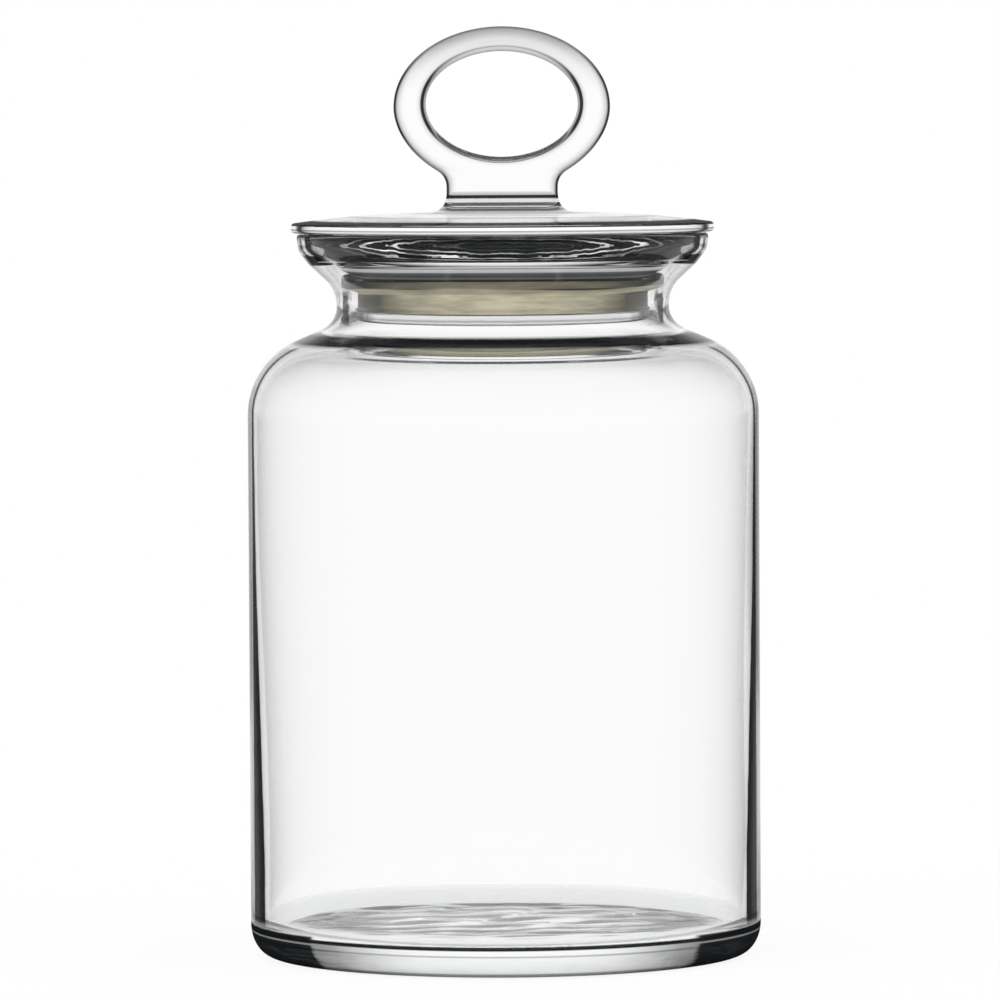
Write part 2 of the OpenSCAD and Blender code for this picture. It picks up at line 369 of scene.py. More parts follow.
# The plug: its groove, its retaining bead, and the hollow inside it
GROOVE_DEPTH = 1.7
SEAL_H = 8.7
BEAD_H = 3.2
BEAD_ROUND = 1.3
BEAD_STEP_ROUND = 0.5
PLUG_WALL = 4.2
PLUG_DRAFT = 7
CEILING_T = 7.5
CEILING_R = 7.0
SOFT_EDGE = 0.35
# The flat pad that the handle's stem stands on
STEM_W = 26.3
FOOT_FLARE = 3.4
PAD_MARGIN = 1.2
# Gaps to the jar
MOUTH_GAP = 0.3
BOWL_GAP = 1.25
CORNER_GAP = 0.15
PLUG_GAP = 2.4

rim_z = mouth_z + MOUTH_GAP
top_z = rim_z + RIM_T
pad_z = top_z + DOME_H
pad_r = STEM_W / 2 + FOOT_FLARE + PAD_MARGIN
bead_r = NECK_R - NECK_WALL - PLUG_GAP
groove_r = bead_r - GROOVE_DEPTH
collar_tan = math.tan(math.radians(COLLAR_LEAN))
bowl_r = (
    mouth_in[0]
    - (mouth_z - funnel_in[1]) / 2 * collar_tan
    - BOWL_GAP / math.cos(math.radians(COLLAR_LEAN))
)
bowl_low = meet(
    (bowl_r, 0), 90, beside(funnel_in, 90 - FUNNEL_LEAN, CORNER_GAP), 90 - FUNNEL_LEAN
)
groove_high = meet(bowl_low, BOWL_SLOPE, (groove_r, 0), 90)
groove_low_z = groove_high[1] - SEAL_H
plug_z = groove_low_z - BEAD_H
hollow_r = bead_r - PLUG_WALL
ceiling_z = pad_z - CEILING_T
hollow_top_r = hollow_r - (ceiling_z - plug_z) * math.tan(math.radians(PLUG_DRAFT))
print("plug ends at z = %.2f mm; the pad lies at z = %.2f mm" % (plug_z, pad_z))


def lid_top(r):
    """Height of the domed top at radius r."""
    t = np.clip((r - pad_r) / (LID_R - pad_r), 0, 1)
    return top_z + DOME_H * (1 - t**2)


# %% Lid: everything but the middle of its top
LID_STEP = 1.0
JOIN_R = 24.0
DOME_START = 3.0
DOME_POINTS = 12
dome_radii = np.linspace(LID_R - DOME_START, JOIN_R, DOME_POINTS)
dome = [(r, float(lid_top(r)), 0) for r in dome_radii]
lid_corners = [
    (0, ceiling_z, 0),
    (hollow_top_r, ceiling_z, CEILING_R),
    (hollow_r, plug_z, LIP_ROUND),
    (bead_r, plug_z, BEAD_ROUND),
    (bead_r, groove_low_z, BEAD_STEP_ROUND),
    (groove_r, groove_low_z, SOFT_EDGE),
    (*groove_high, SOFT_EDGE),
    (*bowl_low, BOWL_CORNER_R),
    (bowl_r + BOWL_LEAN, rim_z, LIP_ROUND),
    (LID_R, rim_z, LIP_ROUND),
    (LID_R, top_z, LIP_ROUND),
    *dome,
]
lid_profile = rounded(lid_corners, LID_STEP)
print("lid profile:", len(lid_profile), "points")

# %% [markdown]
# ## The ring handle
# The ring is a gob pressed in two half-moulds: nearly flat faces, round edges, an oval hole. A
# lathe can't make it, and boxes or tubes joined by hand would leave creases. So its form is
# written as a distance: how far is a point from the glass? A soft minimum between handle and lid
# gives the fillet at the foot for free.

# %% Handle: the distance function, in mm
# Half-width of the ring, and half-width and half-height of its finger hole
RING_A = 25.6
HOLE_A = 17.95
HOLE_B = 12.45
# Glass above and below the hole, and the stem under it
RING_TOP_T = 5.85
RING_LOW_T = 7.5
STEM_H = 5.8
STEM_SHARE = 0.6
# The ring is widest a little below the hole's middle, and fuller below than an oval
BELLY_DROP = 0.7
LOWER_POWER = 1.9
# Half its depth, and how its edges round over
RING_HALF_D = 4.5
EDGE_REACH = 2.9
EDGE_POWER = 2.6
# Fillets: between ring and stem, and between stem and lid
CROTCH = 2.5
FOOT_FILLET = 5.0
NOT_ZERO = 1e-9

ring_low_z = pad_z + STEM_H
hole_z = ring_low_z + RING_LOW_T + HOLE_B
ring_top_z = hole_z + HOLE_B + RING_TOP_T
belly_z = hole_z - BELLY_DROP


def oval_gap(x, z, a, b, power=2.0):
    """Roughly the distance to an oval of half-axes a and b: negative inside."""
    x = np.abs(x) + NOT_ZERO
    z = np.abs(z) + NOT_ZERO
    sx = (x / a) ** power
    sz = (z / b) ** power
    q = (sx + sz) ** (1 / power)
    slope = q ** (1 - power) * np.hypot(sx / x, sz / z)
    return (q - 1) / slope


def soft_min(a, b, reach):
    """The smaller of two distances, blended where they are within reach of each other."""
    h = np.clip(0.5 + 0.5 * (b - a) / reach, 0, 1)
    return b + (a - b) * h - reach * h * (1 - h)


def handle_gap(x, y, z):
    """Roughly the distance to the ring and its stem: negative inside the glass."""
    up = oval_gap(x, z - belly_z, RING_A, ring_top_z - belly_z)
    down = oval_gap(x, z - belly_z, RING_A, belly_z - ring_low_z, LOWER_POWER)
    outer = np.where(z > belly_z, up, down)
    stem = np.maximum(np.abs(x) - STEM_W / 2, z - ring_low_z - RING_LOW_T * STEM_SHARE)
    outline = np.maximum(soft_min(outer, stem, CROTCH), -oval_gap(x, z - hole_z, HOLE_A, HOLE_B))
    edge = np.maximum(outline + EDGE_REACH, 0) / EDGE_REACH + NOT_ZERO
    face = np.abs(y) / RING_HALF_D + NOT_ZERO
    f = (edge**EDGE_POWER + face**EDGE_POWER) ** (1 / EDGE_POWER)
    slope = f ** (1 - EDGE_POWER) * np.hypot(
        edge ** (EDGE_POWER - 1) / EDGE_REACH, face ** (EDGE_POWER - 1) / RING_HALF_D
    )
    return (f - 1) / slope


def glass_gap(p):
    """Distance to the lid's top and the handle together, with the fillet between them."""
    x, y, z = p.T
    return soft_min(z - lid_top(np.hypot(x, y)), handle_gap(x, y, z), FOOT_FILLET)


def slope_of(p, reach=0.02):
    """The direction in which the distance grows, for each point."""
    g = np.empty_like(p)
    for axis in range(3):
        step = np.zeros(3)
        step[axis] = reach
        g[:, axis] = (glass_gap(p + step) - glass_gap(p - step)) / (2 * reach)
    return g


print("ring from z = %.2f to %.2f mm, hole at %.2f mm" % (ring_low_z, ring_top_z, hole_z))

# %% [markdown]
# A distance isn't a mesh yet. So blocks and a chain of ovals are laid about where the glass is,
# and a voxel remesh fuses them into one skin of small, even faces. It is rough, with steps as
# large as a voxel, but nothing more is asked of it.

# %% Handle: a rough skin by voxels
VOXEL = 0.42
PAD_BLOCK = (56, 56, 6)
STEM_BLOCK_D = 8.4
STEM_BLOCK_H = 14
STEM_BLOCK_UP = 5
RING_STEPS = 72
TUBE_STEPS = 12
TUBE_HALF_D = 4.2
TUBE_SHARE = 0.95


def add_block(bm, size, centre):
    """A box of this size in mm, around this middle."""
    made = bmesh.ops.create_cube(bm, size=1.0)["verts"]
    bmesh.ops.scale(bm, vec=[s * MM for s in size], verts=made)
    bmesh.ops.translate(bm, vec=[c * MM for c in centre], verts=made)


def rough_handle():
    """Overlapping blocks and tubes about where the glass is, fused by a voxel remesh."""
    bm = bmesh.new()
    add_block(bm, PAD_BLOCK, (0, 0, pad_z - PAD_BLOCK[2] / 2))
    add_block(bm, (STEM_W, STEM_BLOCK_D, STEM_BLOCK_H), (0, 0, pad_z + STEM_BLOCK_UP))
    loops = []
    for i in range(RING_STEPS):
        t = math.tau * i / RING_STEPS
        out_b = ring_top_z - belly_z if math.sin(t) > 0 else belly_z - ring_low_z
        outer = np.array([RING_A * math.cos(t), belly_z + out_b * math.sin(t)])
        inner = np.array([HOLE_A * math.cos(t), hole_z + HOLE_B * math.sin(t)])
        half = (outer - inner) / 2 * TUBE_SHARE
        loop = []
        for j in range(TUBE_STEPS):
            u = math.tau * j / TUBE_STEPS
            x, z = (outer + inner) / 2 + half * math.cos(u)
            loop.append(bm.verts.new((x * MM, TUBE_HALF_D * math.sin(u) * MM, z * MM)))
        loops.append(loop)
    for a, b in zip(loops, loops[1:] + loops[:1]):
        for j in range(TUBE_STEPS):
            k = (j + 1) % TUBE_STEPS
            bm.faces.new((a[j], a[k], b[k], b[j]))
    bmesh.ops.recalc_face_normals(bm, faces=bm.faces)
    mesh = bpy.data.meshes.new("rough_handle")
    bm.to_mesh(mesh)
    bm.free()
    obj = bpy.data.objects.new("rough_handle", mesh)
    bpy.context.scene.collection.objects.link(obj)
    remesh = obj.modifiers.new("voxels", "REMESH")
    remesh.mode = "VOXEL"
    remesh.voxel_size = VOXEL * MM
    depsgraph = bpy.context.evaluated_depsgraph_get()
    skin = bpy.data.meshes.new_from_object(obj.evaluated_get(depsgraph))
    bpy.data.objects.remove(obj)
    return skin


skin = rough_handle()
print("rough skin:", len(skin.vertices), "points")

# %% [markdown]
# Only the skin above the lid is kept. Then every point slides down the slope of the distance
# until it lies on the true surface, as a ball rolls to the bottom of a valley. A few rounds of
# relaxing between the slides keep the faces even: each point moves half-way to the middle of its
# neighbours, and the skin's lower edge is held on a circle.

# %% Handle: keep what lies on the lid, and slide it onto the true surface
FIRST_ROUNDS = 6
LONGEST_SLIDE = 1.0
GENTLEST_SLOPE = 0.05
KEEP_INSIDE = 0.3
KEEP_FROM = -2.0
KEEP_ALL_FROM = 1.0


def settle(points, rounds):
    """Slide each point down the slope of the distance, at most a millimetre a round."""
    for _ in range(rounds):
        g = slope_of(points)
        steep = np.maximum((g * g).sum(1, keepdims=True), GENTLEST_SLOPE)
        move = glass_gap(points)[:, None] * g / steep
        length = np.linalg.norm(move, axis=1, keepdims=True)
        points = points - move * np.minimum(1, LONGEST_SLIDE / np.maximum(length, NOT_ZERO))
    return points


skin_points = np.array([v.co for v in skin.vertices]) / MM
radius = np.hypot(skin_points[:, 0], skin_points[:, 1])
above_pad = skin_points[:, 2] - pad_z
on_top = (radius < JOIN_R - KEEP_INSIDE) & (above_pad > KEEP_FROM)
on_top |= above_pad > KEEP_ALL_FROM
skin_faces = [tuple(f.vertices) for f in skin.polygons if all(on_top[v] for v in f.vertices)]
used = sorted({v for f in skin_faces for v in f})
number = {v: i for i, v in enumerate(used)}
skin_faces = [tuple(number[v] for v in f) for f in skin_faces]
skin_points = settle(skin_points[used], FIRST_ROUNDS)
worst = np.abs(glass_gap(skin_points)).max()
print("handle skin:", len(skin_points), "points, worst gap %.4f mm" % worst)

# %% Handle: relax the skin so that its faces are even, then settle it again
RELAX_ROUNDS = 6
ROUNDS_BETWEEN = 2
LAST_ROUNDS = 3
STITCH_GAP = 0.6
edge_use = {}
for f in skin_faces:
    for i in range(len(f)):
        key = tuple(sorted((f[i], f[(i + 1) % len(f)])))
        edge_use[key] = edge_use.get(key, 0) + 1
pairs = np.array(sorted(edge_use))
rim_edges = [k for k, n in edge_use.items() if n == 1]
rim = sorted({v for k in rim_edges for v in k})
degree = np.bincount(pairs.ravel(), minlength=len(skin_points)).astype(float)


def relaxed(points):
    """Every point half-way to the middle of its neighbours, with the rim on its circle."""
    total = np.zeros_like(points)
    for here, there in (pairs.T, pairs.T[::-1]):
        for axis in range(3):
            total[:, axis] += np.bincount(here, points[there, axis], minlength=len(points))
    mean = total / degree[:, None]
    moved = points + 0.5 * (mean - points)
    scale = (JOIN_R - STITCH_GAP) / np.hypot(points[rim, 0], points[rim, 1])
    moved[rim, 0] = points[rim, 0] * scale
    moved[rim, 1] = points[rim, 1] * scale
    return moved


for _ in range(RELAX_ROUNDS):
    skin_points = settle(relaxed(skin_points), ROUNDS_BETWEEN)
skin_points = settle(skin_points, LAST_ROUNDS)
rim_r = np.hypot(skin_points[rim, 0], skin_points[rim, 1]).mean()
print("rim of the skin:", len(rim), "points at %.2f mm" % rim_r)

# %% [markdown]
# The spun lid ends in a ring of points, and so does the skin, but the two have different counts.
# Both are put in order of angle, and a row of triangles walks round them: each step goes to
# whichever next point comes first. The volume and the count of open edges prove that the result
# is one closed piece of glass.

# %% Lid and handle: stitch the skin to the spun lid
lid_rings = spun_points(lid_profile)
lid_body = lid_rings[1:].reshape(-1, 3)
rows = len(lid_rings) - 1
lid_faces = ring_faces(rows)
axis_point = len(lid_body)
lid_faces += [(axis_point, (j + 1) % AROUND, j) for j in range(AROUND)]
offset = axis_point + 1
lid_faces += [tuple(v + offset for v in f) for f in skin_faces]


def heading_of(v):
    """The angle of a point of the skin, from nought to a full turn."""
    return math.atan2(skin_points[v, 1], skin_points[v, 0]) % math.tau


def next_of(ring, i):
    """The angle and the number of the point after i, going on past a full turn."""
    angle, point = ring[(i + 1) % len(ring)]
    return angle + (math.tau if i + 1 >= len(ring) else 0), point


inner = sorted((heading_of(v), v + offset) for v in rim)
outer = [(math.tau * j / AROUND, (rows - 1) * AROUND + j) for j in range(AROUND)]
i = j = 0
while i < len(inner) or j < len(outer):
    a = inner[i % len(inner)][1]
    b = outer[j % len(outer)][1]
    in_angle, in_point = next_of(inner, i)
    out_angle, out_point = next_of(outer, j)
    if j >= len(outer) or (i < len(inner) and in_angle <= out_angle):
        lid_faces.append((b, in_point, a))
        i += 1
    else:
        lid_faces.append((b, out_point, a))
        j += 1

lid_points = np.vstack([lid_body, lid_rings[0, 0], skin_points])
lid = mesh_object("glass_lid", lid_points, lid_faces)
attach(lid, "lid")
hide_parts("lid", "ring_handle")
check = bmesh.new()
check.from_mesh(lid.data)
open_edges = sum(1 for e in check.edges if not e.is_manifold)
volume = check.calc_volume(signed=True) / MM**3
check.free()
print("lid and handle:", len(lid_points), "points, open edges:", open_edges)
print("their glass is %.0f mm3" % volume)

# %% [markdown]
# ## The seal
# The seal is soft, milky polyethylene, moulded in one piece: a sleeve that hugs the plug, a lip
# above it that closes the funnel, and a small fin below. It is turned as well. Its finish matters
# more than its form: light passes through it, and it glows where the bright background is behind.

# %% Seal: sizes in mm
BORE_GAP = 0.08
SLEEVE_T = 1.05
LIP_R = 38.2
LIP_T = 2.2
LIP_RISE = 1.2
FIN_REACH = 0.95
FIN_H = 1.5
END_GAP = 0.25
SEAL_ROUND = 0.3
BORE_ROUND = 0.2
FIN_ROOT_ROUND = 0.8
LIP_ROOT_ROUND = 0.6
LIP_ROOT_T = 3.0
BORE_START = 2.0
BORE_END = 2.5
SEAL_STEP = 0.8

bore_r = groove_r + BORE_GAP
sleeve_r = bore_r + SLEEVE_T
seal_low_z = groove_low_z + END_GAP
bowl_tan = math.tan(math.radians(BOWL_SLOPE))


def under_bowl(r):
    """Top of the seal at radius r."""
    return groove_high[1] + (r - groove_r) * bowl_tan - END_GAP / math.cos(math.radians(BOWL_SLOPE))


lip_root_z = under_bowl(sleeve_r) - LIP_ROOT_T
seal_corners = [
    (bore_r, seal_low_z + BORE_START, 0),
    (bore_r, seal_low_z, BORE_ROUND),
    (sleeve_r + FIN_REACH, seal_low_z, SEAL_ROUND),
    (sleeve_r, seal_low_z + FIN_H, FIN_ROOT_ROUND),
    (sleeve_r, lip_root_z, LIP_ROOT_ROUND),
    (LIP_R, lip_root_z + LIP_RISE, SEAL_ROUND),
    (LIP_R, lip_root_z + LIP_RISE + LIP_T, SEAL_ROUND),
    (bore_r, under_bowl(bore_r), BORE_ROUND),
    (bore_r, seal_low_z + BORE_END, 0),
]
seal_profile = rounded(seal_corners, SEAL_STEP)
seal_rings = spun_points(seal_profile)
seal = mesh_object(
    "soft_seal", seal_rings.reshape(-1, 3), ring_faces(len(seal_rings), loop=True)
)
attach(seal, "seal")
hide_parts("seal_ring")
print("seal:", len(seal.data.vertices), "points")

# %% [markdown]
# ## Clear glass
# Clear glass lets nearly all light through, mirrors a little and bends the rest. The Principled
# shader does that with full transmission, no roughness and an index of 1.5. But glass shows its
# surroundings, and the dark lines that draw a real jar come from the dark sides of a studio.
# Black boards beside the jar would make them too, but they would darken everything else that the
# glass bends. So each finish mixes clear glass with a painted tone: near-black where it paints
# shade, pale where it paints light. How much of it shows depends on the height on the piece and
# on how far the surface turns away from the eye.

# %% Finish: new materials, and ramps of grey
MAP_HEIGHT = 200 * MM


def new_material(name):
    """An empty material, its nodes and its links."""
    material = bpy.data.materials.new(name)
    material.use_nodes = True
    material.node_tree.nodes.clear()
    return material, material.node_tree.nodes, material.node_tree.links


def set_ramp(ramp, stops):
    """Fill a colour ramp with grey stops of (place, level), in rising order."""
    elements = ramp.color_ramp.elements
    ends = (elements[0], elements[1])
    for element, (place, level) in zip(ends, (stops[0], stops[-1])):
        element.position = place
        element.color = (level, level, level, 1)
    for place, level in stops[1:-1]:
        elements.new(place).color = (level, level, level, 1)


def by_height(stops):
    """Turn heights in mm into places on a ramp that spans MAP_HEIGHT."""
    return [(z * MM / MAP_HEIGHT, level) for z, level in stops]


print("ramps of height reach", MAP_HEIGHT / MM, "mm")

# %% [markdown]
# Rules such as "dark where it turns away, but only below the shoulder" are sums on single numbers.
# In the node editor each sum is a Math node, and a rule soon takes thirty of them. These short
# forms let the script write the rules as sums. A ramp is a curve given as a list of
# (value, level) stops, with straight lines between them.

# %% Finish: short forms for sums on nodes
# Colours of the painted tone laid over the glass: near-black for painted shade, light for painted
# light
SHADE_NEAR_BLACK = (0.006, 0.007, 0.008, 1)
PAINTED_LIGHT_TONE = (0.97, 0.98, 0.98, 1)


class Sums:
    """Short forms for the nodes of one tree that work on single numbers."""

    def __init__(self, tree):
        self.nodes = tree.nodes
        self.links = tree.links

    def do(self, kind, *values):
        """One Math node. A value is a number or another node's output."""
        node = self.nodes.new("ShaderNodeMath")
        node.operation = kind
        for socket, value in zip(node.inputs, values):
            if isinstance(value, (int, float)):
                socket.default_value = value
            else:
                self.links.new(value, socket)
        return node.outputs[0]

    def ramp(self, value, stops):
        """A curve of straight lines through (value, level) stops, for values from 0 to 1."""
        node = self.nodes.new("ShaderNodeValToRGB")
        set_ramp(node, stops)
        self.links.new(value, node.inputs["Fac"])
        return node.outputs["Color"]

    def levels(self, value, stops):
        """A ramp whose places are given in the value's own unit."""
        low = stops[0][0]
        span = stops[-1][0] - low
        share = self.do("DIVIDE", self.do("SUBTRACT", value, low), span)
        return self.ramp(share, [((at - low) / span, level) for at, level in stops])

    def turned_away(self):
        """Nought where the surface faces the eye, one where it is edge-on."""
        node = self.nodes.new("ShaderNodeLayerWeight")
        node.inputs["Blend"].default_value = 0.5
        return node.outputs["Facing"]

    def parts(self, vector):
        """The X, Y and Z of a vector."""
        split = self.nodes.new("ShaderNodeSeparateXYZ")
        self.links.new(vector, split.inputs[0])
        return split.outputs["X"], split.outputs["Y"], split.outputs["Z"]

    def place(self):
        """The point on the piece, and its height in mm."""
        point = self.nodes.new("ShaderNodeTexCoord").outputs["Object"]
        return point, self.do("DIVIDE", self.parts(point)[2], MM)

    def length(self, x, y):
        """The length of a flat vector."""
        return self.do("SQRT", self.do("ADD", self.do("MULTIPLY", x, x), self.do("MULTIPLY", y, y)))

    def outside(self):
        """One on the side that meets the air, nought where light comes from within."""
        side = self.nodes.new("ShaderNodeNewGeometry")
        return self.do("SUBTRACT", 1.0, side.outputs["Backfacing"])

    def two_tone(self, matt, pale):
        """Colour the painted tone: near-black for painted shade, or light for painted light where
        pale is one.
        """
        tone = self.nodes.new("ShaderNodeMix")
        tone.data_type = "RGBA"
        tone.inputs["A"].default_value = SHADE_NEAR_BLACK
        tone.inputs["B"].default_value = PAINTED_LIGHT_TONE
        self.links.new(pale, tone.inputs["Factor"])
        self.links.new(tone.outputs["Result"], matt.inputs["Base Color"])
        self.links.new(tone.outputs["Result"], matt.inputs["Emission Color"])

    def noise(self, point, scale, detail=2.0):
        """Noise about nought: one lump is about 1 / scale metres wide."""
        node = self.nodes.new("ShaderNodeTexNoise")
        node.inputs["Scale"].default_value = scale
        node.inputs["Detail"].default_value = detail
        self.links.new(point, node.inputs["Vector"])
        return self.do("SUBTRACT", node.outputs["Fac"], 0.5)

    def band(self, value, centre, half, soft):
        """One inside centre +- half, falling to nought over soft."""
        away = self.do("ABSOLUTE", self.do("SUBTRACT", value, centre))
        node = self.nodes.new("ShaderNodeMapRange")
        node.inputs["From Min"].default_value = half + soft
        node.inputs["From Max"].default_value = half
        self.links.new(away, node.inputs["Value"])
        return node.outputs[0]


print("short forms:", ", ".join(name for name in vars(Sums) if name[0] != "_"))

# %% [markdown]
# Every glass finish below starts from this one. Mixing two shaders lays a painted tone over clear
# glass: near-black where it paints shade, pale where it paints light, and the share says how much
# of it shows. A few painted tones glow a little, because a pale tone that lies in shadow would look
# grey, while a real streak of light in glass doesn't.

# %% Finish: clear glass under a painted tone of light or shade
GLASS_INDEX = 1.5
PALE = (0.995, 0.997, 0.996, 1)
# Painted shade on the glass's reflections: this specular tint dims all that the glass mirrors
REFLECTION_SHADE_TINT = (0.2, 0.2, 0.2, 1)


def glass_finish(name, glow=0.0):
    """Clear glass under painted light or shade. Returns what a zone needs to set share and tone."""
    material, nodes, links = new_material(name)
    out = nodes.new("ShaderNodeOutputMaterial")
    glass = nodes.new("ShaderNodeBsdfPrincipled")
    glass.inputs["Base Color"].default_value = PALE
    glass.inputs["Transmission Weight"].default_value = 1
    glass.inputs["Roughness"].default_value = 0
    glass.inputs["IOR"].default_value = GLASS_INDEX
    glass.inputs["Specular Tint"].default_value = REFLECTION_SHADE_TINT
    matt = nodes.new("ShaderNodeBsdfPrincipled")
    matt.inputs["Base Color"].default_value = SHADE_NEAR_BLACK
    matt.inputs["Roughness"].default_value = 1
    matt.inputs["Specular IOR Level"].default_value = 0
    # A glow makes the painted tone shine by itself, though the glass is no lamp
    matt.inputs["Emission Strength"].default_value = glow
    mix = nodes.new("ShaderNodeMixShader")
    links.new(glass.outputs[0], mix.inputs[1])
    links.new(matt.outputs[0], mix.inputs[2])
    links.new(mix.outputs[0], out.inputs["Surface"])
    return material, Sums(material.node_tree), mix.inputs["Fac"], matt


def rim_glass(name, stops):
    """Glass with painted shade along its rims: stops of (how far turned away, darkness)."""
    material, sums, share, _ = glass_finish(name)
    sums.links.new(sums.ramp(sums.turned_away(), stops), share)
    return material


# Painted shade: the jar's inside darkens where it turns edge-on
inside_finish = rim_glass("jar_inside_glass", ((0, 0), (0.8, 0), (0.92, 0.1), (1, 0.3)))
plain_finish = rim_glass("lid_level_glass", ((0, 0), (1, 0)))
print("glass: index", GLASS_INDEX)

# %% [markdown]
# ## The jar's wall
# Down each side of a jar runs a dark line: there the eye looks along the wall, through so much
# glass that only the dark sides of the room arrive. Here that line is painted shade. It starts
# sooner near the foot, where the wall is thicker. Two ramps draw it. One fades its outer edge, and
# the other its inner edge, counted from a start that a third ramp gives for each height.

# %% Finish: the jar's wall, painted dark lines of shade that widen downwards
LINE_OUTSIDE = (
    (0, 1), (0.820, 1), (0.832, 0.45), (0.87, 0.43), (0.89, 0.27), (0.93, 0.22), (0.96, 0.12),
    (1, 0.08),
)
LINE_INSIDE = (
    (0, 0.01), (0.225, 0.015), (0.30, 0.04), (0.34, 0.07), (0.37, 0.1), (0.45, 0.2),
    (0.48, 0.3), (0.494, 0.4), (0.501, 0.99), (0.55, 0.975), (0.59, 0.93), (1, 0.91),
)
LINE_STARTS = ((25.0, 0.676), (60.0, 0.719), (93.0, 0.769), (126.0, 0.79), (143.0, 0.795))
LINE_FADES = ((0, 1), (0.30, 1), (0.465, 0.97), (0.63, 0.94), (0.69, 0.88), (0.72, 0.8), (1, 0.8))
WALL_LIMITS = ((8.0, 0), (9.5, 1), (144.2, 1), (144.6, 0))


def painted_wall_lines(sums, height, facing):
    """Share of painted shade in the two wall lines: the inner side starts sooner near the foot."""
    starts = by_height(LINE_STARTS)
    start = sums.ramp(height, [(0, starts[0][1]), *starts, (1, starts[-1][1])])
    past = sums.do("ADD", sums.do("SUBTRACT", facing, start), 0.5)
    line = sums.do("MULTIPLY", sums.ramp(past, LINE_INSIDE), sums.ramp(facing, LINE_OUTSIDE))
    line = sums.do("MULTIPLY", line, sums.ramp(height, LINE_FADES))
    return sums.do("MULTIPLY", line, sums.ramp(height, by_height(WALL_LIMITS)))


print("wall lines run from", WALL_LIMITS[0][0], "to", WALL_LIMITS[-1][0], "mm")

# %% [markdown]
# Shoulder, waist and collar curve in two directions, and each has a rim of its own. Each rim is
# painted shade: a band of heights, a ramp of how far it turns away, and a share of unevenness,
# because a rim in blown glass is never a clean line. A few painted dark level lines stand for the
# bends of the shoulder and of the collar, where the glass is thicker.

# %% Finish: painted shade along the rims of the shoulder, the waist and the collar
SLOPE_RIM = (
    (0, 0), (0.40, 0.3), (0.44, 0.965), (0.70, 0.965), (0.78, 0.65), (0.85, 0.45), (1, 0.3),
)
WAIST_RIM = (
    (0, 0), (0.50, 0.0), (0.62, 0.05), (0.665, 0.8), (0.715, 0.85), (0.735, 0.12), (0.80, 0.1),
    (0.82, 0.4), (0.85, 0.1), (0.90, 0.25), (1, 0.1),
)
COLLAR_RIM = (
    (0, 0), (0.38, 0), (0.48, 0.35), (0.62, 0.4), (0.66, 0.95), (0.728, 0.95), (0.742, 0.2),
    (0.786, 0.2), (0.803, 0.75), (0.84, 0.75), (0.86, 0.12), (1, 0.1),
)
JAR_RIMS = (
    (((144.6, 0), (145.0, 1), (147.3, 1), (147.5, 0)), SLOPE_RIM, 0.05),
    (((149.3, 0), (150.3, 1), (156.5, 1), (158.5, 0)), WAIST_RIM, 0.35),
    (((163.6, 0), (165.0, 1), (190.0, 1)), COLLAR_RIM, 0),
)
# Painted dark level lines at the bends of the shoulder and of the collar
SHOULDER_LINES = (
    (140.0, 0), (141.2, 0.0), (141.5, 0.08), (141.9, 0.0), (142.8, 0.0), (143.15, 0.12),
    (143.4, 0.1), (143.7, 0.0), (144.3, 0.0),
)
COLLAR_LINES = ((169.2, 0), (169.5, 0.55), (170.3, 0.75), (170.71, 0.5))


def with_rims(total, sums, mm, height, facing, lump):
    """The wall's share of painted shade, with that of everything above it added band by band."""
    for limits, stops, rough in JAR_RIMS:
        weight = sums.ramp(height, by_height(limits))
        uneven = sums.do("MULTIPLY_ADD", lump, rough, facing)
        total = sums.do("MULTIPLY_ADD", weight, sums.ramp(uneven, stops), total)
    total = sums.do("MAXIMUM", total, sums.levels(mm, SHOULDER_LINES))
    return sums.do("MAXIMUM", total, sums.levels(mm, COLLAR_LINES))


print("bands of rims above the wall:", len(JAR_RIMS))

# %% [markdown]
# ## The jar's thick base
# Below the floor the glass is solid, and works as a lens: bright in the middle, grey towards the
# sides, and black at the corners. Here these are painted: pale painted light in the middle,
# painted grey shade towards the sides and painted black shade at the corners. How far round the
# side a point lies can't be read from how far it turns away, because the heel also curves under.
# So the heel's own lean is taken out first: what is left is how far round the side the point
# lies, whatever its height.

# %% Finish: the solid base, painted light in the middle and painted black shade at its corners
HEEL_UPRIGHT = (
    (0.05, 0.15), (0.3, 0.375), (0.6, 0.51), (1.2, 0.67), (2.0, 0.79), (3.0, 0.88), (4.0, 0.935),
    (5.0, 0.97), (7.5, 1.0),
)
# How steeply the eye mostly looks down on a jar on a shelf
EYE_ABOVE = 0.10
# Painted black shade at the base's corners
CORNER = ((0, 0), (0.335, 0.0), (0.36, 0.985), (1, 0.99))
CORNER_ROUGH = 0.05
CORNER_HEIGHTS = (
    (5.7, 1), (6.05, 1), (6.15, 0.25), (6.4, 0.25), (6.6, 1), (7.9, 1), (8.4, 0), (9.0, 0)
)
BASE_SHARE = (
    (0.0, 0.9), (1.1, 0.93), (6.5, 0.93), (6.75, 0.97), (7.4, 0.97), (7.6, 0)
)
BASE_TONE = (
    (0.0, 0.9), (0.2, 0.5), (0.7, 0.4), (0.9, 0.45), (1.15, 1), (4.9, 1), (5.05, 0.55), (5.3, 0.55),
    (5.5, 1), (6.45, 1), (6.7, 0),
)
BASE_SHADE = (
    (0, 0.95), (0.06, 0.92), (0.107, 0.82), (0.16, 0.64), (0.19, 0.55), (0.227, 0.43), (0.266, 0.3),
    (0.33, 0.22), (1, 0.2),
)


